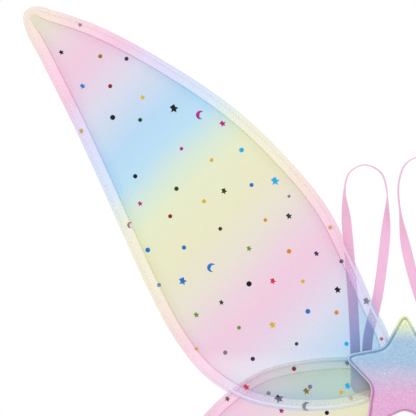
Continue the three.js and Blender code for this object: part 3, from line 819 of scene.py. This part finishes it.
def woven(name, base, thread, roughness=0.8, sheen=0.4, depth=0.0003, lengthwise=False, contrast=0.06):
    """Woven or knitted cloth with its threads' pitch in metres: fine ribs, a soft matt fuzz and no gloss.
    lengthwise uses the piece's own UV lengths."""
    material, tree = blank(name)
    if lengthwise:
        place_of = node(tree, "UVMap", uv_map="lengths")
    else:
        place_of = node(tree, "TexCoord").outputs["Object"]
    axes = node(tree, "SeparateXYZ", Vector=place_of)
    turns = 2 * math.pi / thread
    along = node(tree, "Math", axes.outputs["X"], turns, operation="MULTIPLY")
    ribs = node(tree, "Math", along, operation="SINE")
    other = axes.outputs["Y"] if lengthwise else axes.outputs["Z"]
    over = node(tree, "Math", other, turns * (0.6 if lengthwise else 1), operation="MULTIPLY")
    picks = node(tree, "Math", over, operation="SINE")
    cloth = node(tree, "Math", ribs, picks, operation="MULTIPLY")
    fuzz = node(tree, "TexNoise", Vector=place_of, Scale=700.0, Detail=3.0)
    height = node(tree, "Math", cloth, 0.6, fuzz, operation="MULTIPLY_ADD")
    plain = node(tree, "Math", fuzz, 0.12, 0.92, operation="MULTIPLY_ADD")
    tone = node(tree, "Math", cloth, contrast, plain, operation="MULTIPLY_ADD")
    threads = toned(tree, tuple(base), tone)
    bump = node(tree, "Bump", Height=height, Strength=0.5, Distance=depth)
    shader = node(
        tree, "BsdfPrincipled", Base_Color=threads, Roughness=roughness, Sheen_Weight=sheen,
        Sheen_Roughness=0.5, Specular_IOR_Level=0.25, Normal=bump,
    )
    node(tree, "OutputMaterial", Surface=shader)
    return material


def drawn_metal(name, code, roughness):
    """Drawn wire or crimped sheet: a satin metal with fine lines from the die."""
    material, tree = blank(name)
    place_of = node(tree, "TexCoord").outputs["Object"]
    lines = node(tree, "TexNoise", Vector=place_of, Scale=1200.0, Detail=2.0)
    rough = node(tree, "Math", lines, 0.2, roughness - 0.1, operation="MULTIPLY_ADD")
    bump = node(tree, "Bump", Height=lines, Strength=0.15, Distance=0.0001)
    bright = tuple(min(1, c * 1.15) for c in linear(code))
    tone = node(tree, "ValToRGB", lines, stops=[(0.3, linear(code)), (0.7, bright)])
    shader = node(tree, "BsdfPrincipled", Base_Color=tone, Metallic=0.9, Roughness=rough, Normal=bump)
    node(tree, "OutputMaterial", Surface=shader)
    return material


def enamel(name, code):
    """Wire dipped in white enamel: a thin even gloss with the die's lines just showing through."""
    material, tree = blank(name)
    place_of = node(tree, "TexCoord").outputs["Object"]
    lines = node(tree, "TexNoise", Vector=place_of, Scale=900.0, Detail=2.0)
    shaded = tuple(c * 0.94 for c in linear(code))
    tone = node(tree, "ValToRGB", lines, stops=[(0.3, shaded), (0.7, linear(code))])
    bump = node(tree, "Bump", Height=lines, Strength=0.15, Distance=0.0001)
    shader = node(tree, "BsdfPrincipled", Base_Color=tone, Roughness=0.35, Normal=bump)
    node(tree, "OutputMaterial", Surface=shader)
    return material


def pressed_board(name, base):
    """Pressed fibre board: flat, dry, with short pale fibres."""
    material, tree = blank(name)
    place_of = node(tree, "TexCoord").outputs["Object"]
    stretched = node(tree, "Mapping", Vector=place_of, Scale=(300, 300, 1400))
    fibres = node(tree, "TexNoise", Vector=stretched, Scale=1.0, Detail=4.0)
    tone = node(tree, "Math", fibres, 0.3, 0.83, operation="MULTIPLY_ADD")
    board = toned(tree, tuple(base), tone)
    bump = node(tree, "Bump", Height=fibres, Strength=0.3, Distance=0.0002)
    shader = node(tree, "BsdfPrincipled", Base_Color=board, Roughness=0.85, Normal=bump)
    node(tree, "OutputMaterial", Surface=shader)
    return material


def wear(piece, material):
    """Gives a piece its one material."""
    piece.data.materials.clear()
    piece.data.materials.append(material)


# ---- Wings -----------------------------------------------------------------------------


def bend_with_wing(piece):
    """Stores each point's place at rest, which the print reads, so that the print stays on the cloth if the
    piece bends, and bakes the piece's place into its mesh."""
    store(piece, "rest_place", "FLOAT_VECTOR", "vector", points_of(piece))
    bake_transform(piece)


def billow(flat, line, tier, settings):
    """How far the sheer cloth stands forward of its layer at flat (x, z) points."""
    inside, gap = inside_and_distance(flat, line)
    gap = np.where(inside, gap, 0)
    hem_slope, hub_reach, hub_slope = 0.045, 0.062, 0.05
    free = np.clip((gap - HEM_WIDTH) / hem_slope, 0, 1)
    free = free * free * (3 - 2 * free)
    out = np.hypot(flat[:, 0], flat[:, 1])
    clear = np.clip((out - hub_reach) / hub_slope, 0, 1)
    amount = settings.fullness if tier == "upper" else settings.fullness * -0.5
    angle = np.arctan2(flat[:, 1], np.abs(flat[:, 0]))
    folds = np.sin(angle * 23) * 0.5 + np.sin(angle * 41 + out * 30) * 0.3
    near_hem = np.exp(-(((gap - 0.013) / 0.006) ** 2))
    ripple = np.sin((flat[:, 0] * 310 + flat[:, 1] * 270)) * near_hem * settings.pucker
    return clear * (amount * free * (0.85 + 0.25 * folds) + ripple * (gap > HEM_WIDTH))


def hem_rise(gap):
    """Half of the hem's thickness at distances from the wing's edge."""
    insets, rises = zip(*HEM_SECTION)
    return np.interp(gap, np.array(insets) * MM, np.array(rises) * MM)


class FAIRY_OT_panels(bpy.types.Operator):
    """Builds the four sheer panels"""

    bl_idname = "fairy.panels"
    bl_label = "Sheer panels"

    def execute(self, context):
        settings = context.scene.fairy_wings
        for tier in EDGES:
            material = sheer_cloth(tier, False, settings)
            for side_name, side in SIDES.items():
                self.panel(tier, side_name, side, material, settings)
        return {"FINISHED"}

    def panel(self, tier, side_name, side, material, settings):
        line = wing_line(tier, side, settings.edge_step)
        cut = inset_line(line, settings.panel_tuck)
        low, high = cut.min(0), cut.max(0)
        size = high - low
        cells = np.ceil(size / settings.panel_cell).astype(int)
        y = layer_y(tier)
        deselect()
        bpy.ops.mesh.primitive_grid_add(x_subdivisions=int(cells[0]), y_subdivisions=int(cells[1]), size=1)
        piece = started(f"{tier}_{side_name}_sheer_panel")
        piece.scale = (size[0], size[1], 1)
        piece.rotation_euler = (math.pi / 2, 0, 0)
        piece.location = ((low[0] + high[0]) / 2, y, (low[1] + high[1]) / 2)
        place(piece)
        co = points_of(piece)
        inside, gap = inside_and_distance(co[:, [0, 2]], cut)
        outside = ~inside & (gap > settings.panel_cell * 0.5)
        bpy.ops.object.mode_set(mode="EDIT")
        bpy.ops.mesh.select_mode(type="VERT")
        mesh = bmesh.from_edit_mesh(piece.data)
        for vertex, drop in zip(mesh.verts, outside):
            vertex.select = bool(drop)
        mesh.select_flush_mode()
        bmesh.update_edit_mesh(piece.data)
        bpy.ops.mesh.delete(type="VERT")
        bpy.ops.object.mode_set(mode="OBJECT")
        self.trim_to(piece, cut, y)
        co = points_of(piece)
        flat = co[:, [0, 2]]
        co[:, 1] = y - billow(flat, line, tier, settings)
        set_points(piece, co)
        gap = inside_and_distance(flat, line)[1]
        # Painted shade: a line along the hem's inner edge where the net's colour is deepened. It stands for
        # the hem's shade on the net together with dye gathered beside the fold.
        shade_width, deepest = 0.0045, 0.5
        shade = np.exp(-(((gap - HEM_WIDTH) / shade_width) ** 2)) * deepest
        store(piece, "hem_shade", "FLOAT", "value", shade)
        smooth_faces(piece)
        wear(piece, material)
        bend_with_wing(piece)
        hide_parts(f"{tier}_{side_name}_mesh", f"{tier}_{side_name}_mesh_root")

    def trim_to(self, piece, cut, y):
        """Pulls the panel's ragged border onto its cut line."""
        only(piece)
        bpy.ops.object.mode_set(mode="EDIT")
        mesh = bmesh.from_edit_mesh(piece.data)
        border = [v for v in mesh.verts if v.is_boundary]
        ring = np.vstack([cut, cut[:1]])
        start, along = ring[:-1], np.diff(ring, axis=0)
        for vertex in border:
            point = np.array([vertex.co.x, vertex.co.z])
            t = np.clip(np.sum((point - start) * along, axis=1) / np.sum(along**2, axis=1), 0, 1)
            nearest = start + t[:, None] * along
            best = nearest[np.argmin(np.linalg.norm(nearest - point, axis=1))]
            vertex.co = (best[0], y, best[1])
        bmesh.update_edit_mesh(piece.data)
        bpy.ops.object.mode_set(mode="OBJECT")


class FAIRY_OT_hems(bpy.types.Operator):
    """Builds the four folded hems with their stitching"""

    bl_idname = "fairy.hems"
    bl_label = "Hems"

    def execute(self, context):
        settings = context.scene.fairy_wings
        for tier in EDGES:
            material = sheer_cloth(tier, True, settings)
            thread = dyed_thread(tier, settings)
            for side_name, side in SIDES.items():
                self.hem(tier, side_name, side, material, thread, settings)
        return {"FINISHED"}

    def hem(self, tier, side_name, side, material, thread, settings):
        line = wing_line(tier, side, settings.edge_step)
        y = layer_y(tier)
        steps = np.arange(len(line))
        rng = np.random.default_rng(HEM_SEEDS[tier])
        wobble = sum(
            np.sin(steps * 2 * math.pi * k / len(line) + rng.uniform(0, 6.28)) / 3 for k in (17, 29, 43)
        )
        section = HEM_SECTION + [(inset, -rise) for inset, rise in reversed(HEM_SECTION[1:])]
        rings = []
        for inset, rise in section:
            flat = inset_line(line, inset * MM) if inset else line
            ring = upright(flat, y)
            ring[:, 1] -= rise * MM * (1 + 0.07 * wobble * (inset > 4))
            rings.append(ring)
        name = f"{tier}_{side_name}"
        hem = loft(f"{name}_hem", rings, closed=True)
        smooth_faces(hem)
        wear(hem, material)
        bend_with_wing(hem)
        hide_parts(f"{name}_casing", f"{name}_casing_root")
        inset, rise = HEM_STITCHES
        flat = inset_line(line, inset * MM)
        rows = []
        for front in (-1, 1):
            row = stitch_row("row", upright(flat, y + front * rise * MM), settings, (0, front, 0))
            rows.append(as_template(row))
        stitches = joined(f"{name}_hem_stitches", rows)
        wear(stitches, thread)
        smooth_faces(stitches)
        bend_with_wing(stitches)


class FAIRY_OT_hoops(bpy.types.Operator):
    """Builds the four spring wire hoops"""

    bl_idname = "fairy.hoops"
    bl_label = "Wire hoops"

    def execute(self, context):
        settings = context.scene.fairy_wings
        steel = enamel("white enamelled spring wire", "#f6f2f6")
        brass = drawn_metal("crimped brass", "#c8a864", 0.35)
        for tier in EDGES:
            for side_name, side in SIDES.items():
                line = wing_line(tier, side, settings.edge_step)
                middle = inset_line(line, settings.wire_inset)
                normal, _ = inward(middle)
                name = f"{tier}_{side_name}"
                hoop = cord(f"{name}_hoop", middle, normal, settings.wire_radius, layer_y(tier))
                wear(hoop, steel)
                bend_with_wing(hoop)
                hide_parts(f"{name}_wire", f"{name}_wire_top_end", f"{name}_wire_bottom_end")
                wear(frame["nodes"][f"{name}_ferrule"], brass)
        return {"FINISHED"}


class FAIRY_OT_confetti(bpy.types.Operator):
    """Scatters the foil print over the sheer panels"""

    bl_idname = "fairy.confetti"
    bl_label = "Foil confetti"

    def execute(self, context):
        settings = context.scene.fairy_wings
        foil_settings = context.scene.fairy_confetti
        material = foil()
        templates = {shape: self.template(shape, foil_settings) for shape in ("dot", "star", "moon")}
        draw = random.Random(foil_settings.seed)
        for tier in EDGES:
            for side_name, side in SIDES.items():
                motifs = self.motifs(tier, side, settings, foil_settings, draw)
                self.lay(tier, side_name, side, motifs, templates, material, settings)
        return {"FINISHED"}

    def template(self, shape, settings):
        """A motif 1 m across in the x-z plane, at its real depth, stamped a little domed."""
        depth, dome = settings.thickness, settings.dome
        if shape == "moon":
            rings = []
            first, last = math.radians(52), math.radians(308)
            for angle in np.linspace(first, last, 13):
                fat = math.sin((angle - first) / (last - first) * math.pi)
                arm = np.array([math.cos(angle), math.sin(angle)])
                outer, inner = 0.5 * arm, (0.5 - 0.42 * fat - 0.012) * arm
                ridge, top = (outer + inner) / 2, -depth - dome * fat
                rings.append([
                    (outer[0], 0, outer[1]), (outer[0], -depth, outer[1]), (ridge[0], top, ridge[1]),
                    (inner[0], -depth, inner[1]), (inner[0], 0, inner[1]),
                ])
            return as_template(loft("motif", rings))
        if shape == "dot":
            angles = np.arange(12) * 2 * math.pi / 12
            flat = 0.5 * np.stack([np.cos(angles), np.sin(angles)], axis=1)
        else:
            angles = math.pi / 2 + np.arange(10) * math.pi / 5
            tip, notch = 0.5, 0.24
            radius = np.where(np.arange(10) % 2 == 0, tip, notch)
            flat = np.stack([radius * np.cos(angles), radius * np.sin(angles)], axis=1)
        rings = [upright(flat, 0), upright(flat, -depth), upright(flat * 0.3, -depth - dome)]
        return as_template(loft("motif", rings))

    def motifs(self, tier, side, settings, foil_settings, draw):
        """(x, z, shape, colour, size) for one wing: the listed motifs on the upper left wing, and motifs
        drawn at random on a loose lattice on the others."""
        line = wing_line(tier, side, settings.edge_step)
        if tier == "upper" and side < 0:
            found = [(x * MM, z * MM, s, c, d * MM) for x, z, s, c, d in MOTIFS]
            line_gap = inside_and_distance(np.array([f[:2] for f in found]), line)
            return [f for f, inside, gap in zip(found, *line_gap) if inside and gap > 2.2 * MM]
        found = []
        pitch = foil_settings.pitch
        low, high = line.min(0), line.max(0)
        spots = []
        for row in range(int((high[1] - low[1]) / pitch) + 2):
            for column in range(int((high[0] - low[0]) / pitch) + 2):
                x = low[0] + (column + 0.5 * (row % 2)) * pitch + draw.uniform(-0.33, 0.33) * pitch
                z = low[1] + row * pitch + draw.uniform(-0.33, 0.33) * pitch
                kind = draw.random()
                tint = draw.choice(SMALL_COLOURS)
                spots.append((x, z, kind, tint))
        for x, z, kind, tint in spots:
            if any(math.hypot(x - f[0], z - f[1]) < 0.62 * pitch for f in found):
                continue
            if kind < 0.56:
                found.append((x, z, "dot", tint, foil_settings.dot))
            elif kind < 0.93:
                found.append((x, z, "star", tint, foil_settings.star))
            else:
                found.append((x, z, "moon", tint, foil_settings.star * 1.25))
        flat = np.array([(f[0], f[1]) for f in found])
        inside, gap = inside_and_distance(flat, line)
        return [f for f, keep in zip(found, inside & (gap > 3 * MM)) if keep]

    def lay(self, tier, side_name, side, motifs, templates, material, settings):
        line = wing_line(tier, side, settings.edge_step)
        draw = random.Random(len(motifs))
        flat = np.array([(m[0], m[1]) for m in motifs])
        stand = billow(flat, line, tier, settings)
        gap = inside_and_distance(flat, line)[1]
        dome = bpy.context.scene.fairy_confetti.dome
        under_hem = hem_rise(gap) - dome - 0.2 * MM
        stand = np.where(gap < HEM_WIDTH, np.maximum(stand, under_hem), stand)
        y = layer_y(tier)
        parts, tints = [], []
        for (x, z, shape, tint, size), out in zip(motifs, stand):
            turn = draw.uniform(-0.35, 0.35)
            c, s = math.cos(turn), math.sin(turn)
            matrix = np.array([[c * size, 0, -s * size], [0, 1, 0], [s * size, 0, c * size]])
            verts, faces = templates[shape]
            front = y - out - 0.05 * MM
            parts.append((verts @ matrix.T + np.array([x, front, z]), faces))
            tints.append((len(verts), linear(FOIL[tint])))
        piece = joined(f"{tier}_{side_name}_confetti", parts)
        values = np.vstack([np.tile(value, (count, 1)) for count, value in tints])
        store(piece, "foil", "FLOAT_COLOR", "color", values)
        wear(piece, material)
        bend_with_wing(piece)


# ---- Star ------------------------------------------------------------------------------


def star_line(settings, step=0.0012):
    """The star's outline, centred, with rounded tips and notches."""
    corners = []
    for i in range(10):
        angle = math.pi / 2 + i * math.pi / 5
        radius = settings.radius if i % 2 == 0 else settings.notch_radius
        corners.append(np.array([radius * math.cos(angle), radius * math.sin(angle)]))
    line = []
    t = np.linspace(0, 1, 14)[:, None]
    for i, corner in enumerate(corners):
        rounding = settings.tip_rounding if i % 2 == 0 else settings.notch_rounding
        start = corner + (corners[i - 1] - corner) * rounding
        end = corner + (corners[(i + 1) % 10] - corner) * rounding
        line.append((1 - t) ** 2 * start + 2 * t * (1 - t) * corner + t**2 * end)
    return even_steps(np.vstack(line), step)


class FAIRY_OT_star(bpy.types.Operator):
    """Builds the puffy star with its sewn rim and back"""

    bl_idname = "fairy.star"
    bl_label = "Puffy star"

    def execute(self, context):
        settings = context.scene.fairy_star
        wing_settings = context.scene.fairy_wings
        glitter = glitter_cloth(settings)
        back_low, back_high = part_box("star_back_panel")
        cover_low, cover_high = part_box("star_front_cover")
        line = star_line(settings)

        back = flat_piece("star_back", line, back_low.y, back_high.y, 0.25 * MM)
        smooth_faces(back, 40)
        wear(back, glitter)
        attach(back, "hub")
        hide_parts("star_back_panel")

        base = cover_high.y
        rim = self.rim(line, base, settings)
        # The rim's glitter is 16% lighter than the puff's: a painted highlight along the raised rim.
        wear(rim, glitter_cloth(settings, "glitter film, rim with painted highlight", 1.16))
        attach(rim, "hub")

        puff = self.puff(line, base, cover_low.y, settings)
        wear(puff, glitter)
        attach(puff, "hub")
        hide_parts("star_front_cover", "star_padding")

        seam = upright(inset_line(line, settings.rim * 0.85, 0.003), base - 0.85 * MM)
        stitches = stitch_row("star_stitches", seam, wing_settings, (0, -1, 0))
        wear(stitches, glitter_cloth(settings, "star thread", 0.9))
        smooth_faces(stitches)
        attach(stitches, "hub")
        return {"FINISHED"}

    def rim(self, line, base, settings):
        """The flat rim, where the star's two faces are sewn together, with a groove at the seam."""
        width = settings.rim / MM
        section = [
            (0, 0.35), (0.08, 0.95), (0.35, 1.35), (0.8, 1.45), (1.15, 1.25), (1.4, 1.05), (width, 0.95),
            (width + 0.6, 0.6), (width + 0.6, 0.0), (0.35, 0.0),
        ]
        rings = [
            upright(inset_line(line, inset * MM, 0.003) if inset else line, base - rise * MM)
            for inset, rise in section
        ]
        rim = loft("star_rim", rings, closed=True)
        smooth_faces(rim)
        return rim

    def puff(self, line, base, front, settings):
        """The stuffed front: a flat star that swells under pressure, its edge held by the seam."""
        edge = inset_line(line, settings.rim, 0.004)
        depth = (base - front) * 0.42
        puff = flat_piece("star_puff", even_steps(edge, 0.0024), base - depth, base - 0.2 * MM)
        applied(puff, "REMESH", mode="VOXEL", voxel_size=0.0016)
        co = points_of(puff)
        gap = inside_and_distance(co[:, [0, 2]], edge)[1]
        sewn = (co[:, 1] > base - 1.2 * MM) | ((gap < 0.8 * MM) & (co[:, 1] > base - 1.8 * MM))
        swell(puff, sewn, 9.0, 8.5 * MM)
        co = points_of(puff)
        co[:, 1] = np.clip(co[:, 1], front, base - 0.1 * MM)
        set_points(puff, co)
        applied(puff, "SMOOTH", factor=0.5, iterations=4)
        applied(puff, "SUBSURF", levels=1, render_levels=1)
        smooth_faces(puff)
        return puff


# ---- Hub, pad and arm loops ------------------------------------------------------------


def rounded_line(low, high, corner, step):
    """A rounded rectangle in the x-z plane."""
    out = []
    for centre, start in (
        ((high[0] - corner, high[1] - corner), 0), ((low[0] + corner, high[1] - corner), 90),
        ((low[0] + corner, low[1] + corner), 180), ((high[0] - corner, low[1] + corner), 270),
    ):
        for angle in np.radians(np.linspace(start, start + 90, 12)):
            out.append((centre[0] + corner * math.cos(angle), centre[1] + corner * math.sin(angle)))
    return even_steps(np.array(out), step)


class FAIRY_OT_hub(bpy.types.Operator):
    """Builds the plates and the divider that hold the wing roots"""

    bl_idname = "fairy.hub"
    bl_label = "Hub plates"

    def execute(self, context):
        settings = context.scene.fairy_hub
        board = pressed_board("pressed fibre board", settings.board_colour)
        felt = woven("felt divider", linear("#e3bfc6"), 0.0011, 0.95, 0.7)
        plates = (
            ("hub_front_plate", "front_board", board, "hub_board"),
            ("hub_back_plate", "back_board", board, "hub_board"),
            ("hub_divider", "felt_divider", felt, "felt"),
        )
        for cad_node, name, material, slot_name in plates:
            low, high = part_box(cad_node)
            line = rounded_line((low.x, low.z), (high.x, high.z), settings.plate_corner, 0.0016)
            plate = flat_piece(name, line, low.y, high.y, 0.22 * MM)
            smooth_faces(plate, 40)
            wear(plate, material)
            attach(plate, "hub")
            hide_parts(cad_node)
        thread = woven("hub thread", linear("#e4a9cb"), 0.0006, 0.6, 0.2)
        for side_name in SIDES:
            wear(frame["nodes"][f"{side_name}_thread_tie"], thread)
        return {"FINISHED"}


class FAIRY_OT_pad(bpy.types.Operator):
    """Builds the stuffed back pad with its piped seam"""

    bl_idname = "fairy.pad"
    bl_label = "Back pad"

    def execute(self, context):
        settings = context.scene.fairy_hub
        low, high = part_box("back_pad_cover")
        cloth = woven("brushed knit", settings.pad_colour, 0.0013, 0.9, 0.6, 0.0004)
        tuck = 1.2 * MM
        line = rounded_line(
            (low.x + tuck, low.z + tuck), (high.x - tuck, high.z - tuck), settings.pad_corner, 0.0022,
        )
        pad = flat_piece("back_pad", line, low.y + 1.3 * MM, high.y - 1.6 * MM)
        applied(pad, "REMESH", mode="VOXEL", voxel_size=0.0022)
        middle = (low.y + high.y) / 2
        co = points_of(pad)
        gap = inside_and_distance(co[:, [0, 2]], line)[1]
        sewn = (gap < 1.2 * MM) & (np.abs(co[:, 1] - middle) < 1.3 * MM)
        swell(pad, sewn, 5.0, 2.6 * MM)
        co = points_of(pad)
        co[:, 1] = np.clip(co[:, 1], low.y, high.y)
        co[:, 0] = np.clip(co[:, 0], low.x, high.x)
        co[:, 2] = np.clip(co[:, 2], low.z, high.z)
        set_points(pad, co)
        applied(pad, "SMOOTH", factor=0.5, iterations=3)
        applied(pad, "SUBSURF", levels=1, render_levels=1)
        smooth_faces(pad)
        wear(pad, cloth)
        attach(pad, "hub")
        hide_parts("back_pad_cover", "back_pad_core")

        edge = rounded_line((low.x, low.z), (high.x, high.z), settings.pad_corner, 0.0016)
        normal, _ = inward(edge)
        seam = edge + normal * settings.piping_radius
        piping = cord("pad_piping", seam, normal, settings.piping_radius, middle)
        wear(piping, woven("piping cloth", linear("#d78fc0"), 0.0012, 0.8, 0.4, 0.0003))
        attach(piping, "hub")
        return {"FINISHED"}


class FAIRY_OT_loops(bpy.types.Operator):
    """Builds the two elastic arm loops"""

    bl_idname = "fairy.loops"
    bl_label = "Arm loops"

    def execute(self, context):
        settings = context.scene.fairy_hub
        elastic = woven(
            "woven elastic", settings.strap_colour, 0.0013, 0.6, 0.35, 0.0004, lengthwise=True, contrast=0.1,
        )
        for side_name, side in SIDES.items():
            self.loop(side_name, side, elastic, settings)
        return {"FINISHED"}

    def loop(self, side_name, side, elastic, settings):
        outer_low, outer_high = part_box(f"{side_name}_outer_loop_tail")
        inner_low, inner_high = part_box(f"{side_name}_inner_loop_tail")
        outer, inner = (outer_low + outer_high) / 2, (inner_low + inner_high) / 2
        foot = outer_low.z
        fold = frame_hinge(f"{side_name}_loop_fold").z
        free = [tuple(v * MM for v in point) for point in LOOPS[side_name]]
        points = [
            (outer.x, outer.y, foot), (outer.x, outer.y, fold), *free,
            (inner.x, inner.y, fold), (inner.x, inner.y, foot),
        ]
        route = even_steps(smooth_curve(points, 20, closed=False), settings.strap_step, closed=False)
        tangent = np.gradient(route, axis=0)
        tangent /= np.linalg.norm(tangent, axis=1)[:, None]
        along = np.r_[0, np.cumsum(np.linalg.norm(np.diff(route, axis=0), axis=1))]
        part = np.clip((along - (fold - foot)) / (along[-1] - 2 * (fold - foot)), 0, 1)
        rise_start, rise_end, fall_start, fall_end = TWISTS[side_name]
        rising = np.clip((part - rise_start) / (rise_end - rise_start), 0, 1)
        falling = np.clip((part - fall_start) / (fall_end - fall_start), 0, 1)
        turn = (math.pi / 2) * (rising**2 * (3 - 2 * rising) + falling**2 * (3 - 2 * falling))
        across = np.stack([side * np.cos(turn), np.sin(turn), np.zeros(len(turn))], axis=1)
        across -= np.sum(across * tangent, axis=1)[:, None] * tangent
        across /= np.linalg.norm(across, axis=1)[:, None]
        through = np.cross(tangent, across)
        half_width, half = settings.strap_width / 2, settings.strap_thickness / 2
        section = [
            (-1, -0.4), (-0.96, -0.9), (-0.8, -1), (-0.4, -0.86), (0, -1), (0.4, -0.86), (0.8, -1),
            (0.96, -0.9), (1, -0.4), (1, 0.4), (0.96, 0.9), (0.8, 1), (0.4, 0.86), (0, 1), (-0.4, 0.86),
            (-0.8, 1), (-0.96, 0.9), (-1, 0.4),
        ]
        rings = [
            np.array([p + a * half_width * u + b * half * v for u, v in section])
            for p, a, b in zip(route, across, through)
        ]
        loop = loft(f"{side_name}_elastic_loop", rings)
        smooth_faces(loop, 60)
        wear(loop, elastic)
        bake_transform(loop)
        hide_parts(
            f"{side_name}_arm_loop", f"{side_name}_outer_loop_tail", f"{side_name}_inner_loop_tail"
        )


def frame_hinge(name):
    """A joint's position at rest."""
    return Vector(next(j["pos_m"] for j in frame["joints"] if j["name"] == name))


# ---- Stage -----------------------------------------------------------------------------


class FAIRY_OT_stage(bpy.types.Operator):
    """Sets the camera, the pale floor and the soft light"""

    bl_idname = "fairy.stage"
    bl_label = "Stage"

    def execute(self, context):
        settings = context.scene.fairy_stage
        sensor = 0.036
        deselect()
        bpy.ops.object.camera_add(
            location=(settings.centre_x, layer_y("upper") - settings.distance, settings.centre_z),
            rotation=(math.pi / 2, 0, 0),
        )
        camera = context.object
        camera.data.sensor_width = sensor / MM
        camera.data.lens = sensor / MM * settings.distance / settings.view_width
        context.scene.camera = camera

        deselect()
        bpy.ops.mesh.primitive_circle_add(
            vertices=96, radius=settings.floor_radius, fill_type="NGON",
            location=(0, 0, settings.floor_height),
        )
        floor = started("floor")
        place(floor)
        material, tree = blank("pale floor")
        place_of = node(tree, "TexCoord").outputs["Object"]
        speck = node(tree, "TexNoise", Vector=place_of, Scale=40.0, Detail=3.0)
        pale = tuple(settings.floor_colour)
        tone = node(tree, "ValToRGB", speck, stops=[(0.3, pale), (0.7, tuple(0.985 * c for c in pale))])
        shader = node(tree, "BsdfPrincipled", Base_Color=tone, Roughness=0.9)
        node(tree, "OutputMaterial", Surface=shader)
        wear(floor, material)

        for name, place_at, size, power in LIGHTS:
            deselect()
            bpy.ops.object.light_add(type="AREA", location=place_at)
            light = context.object
            light.name = name
            light.data.size = size
            light.data.energy = power
            aim = Vector(LIT_POINT) - Vector(place_at)
            light.rotation_euler = aim.to_track_quat("-Z", "Y").to_euler()
            light.visible_camera = False
        self.world(context)
        context.scene.view_settings.view_transform = "Standard"
        return {"FINISHED"}

    def world(self, context):
        """White behind the object, and a slightly dimmer white as light."""
        world = bpy.data.worlds.new("white sweep")
        context.scene.world = world
        world.use_nodes = True
        tree = world.node_tree
        tree.nodes.clear()
        path = node(tree, "LightPath")
        light = node(tree, "Background", Color=(1, 1, 1, 1), Strength=0.9)
        seen = node(tree, "Background", Color=(1, 1, 1, 1), Strength=1.0)
        both = node(tree, "MixShader", path.outputs["Is Camera Ray"], light, seen)
        node(tree, "OutputWorld", Surface=both)


# ---- Add-on ----------------------------------------------------------------------------

BUILD_ORDER = ("stage", "panels", "hems", "hoops", "confetti", "star", "hub", "pad", "loops")


class FAIRY_PT_panel(bpy.types.Panel):
    """Lists the wings' pieces in the order they are made"""

    bl_idname = "FAIRY_PT_panel"
    bl_label = "Fairy wings"
    bl_space_type = "VIEW_3D"
    bl_region_type = "UI"
    bl_category = "Fairy wings"

    def draw(self, context):
        for name in BUILD_ORDER:
            self.layout.operator(f"fairy.{name}")


SETTINGS = {
    "fairy_wings": WingSettings,
    "fairy_confetti": ConfettiSettings,
    "fairy_star": StarSettings,
    "fairy_hub": HubSettings,
    "fairy_stage": StageSettings,
}
OPERATORS = (
    FAIRY_OT_stage, FAIRY_OT_panels, FAIRY_OT_hems, FAIRY_OT_hoops, FAIRY_OT_confetti,
    FAIRY_OT_star, FAIRY_OT_hub, FAIRY_OT_pad, FAIRY_OT_loops,
)


def register():
    for group in SETTINGS.values():
        bpy.utils.register_class(group)
    for operator in OPERATORS:
        bpy.utils.register_class(operator)
    bpy.utils.register_class(FAIRY_PT_panel)
    for name, group in SETTINGS.items():
        setattr(bpy.types.Scene, name, bpy.props.PointerProperty(type=group))


def unregister():
    for name in SETTINGS:
        delattr(bpy.types.Scene, name)
    for group in (FAIRY_PT_panel, *OPERATORS, *SETTINGS.values()):
        bpy.utils.unregister_class(group)


def main():
    register()
    for name in BUILD_ORDER:
        getattr(bpy.ops.fairy, name)()


if __name__ == "__main__":
    main()
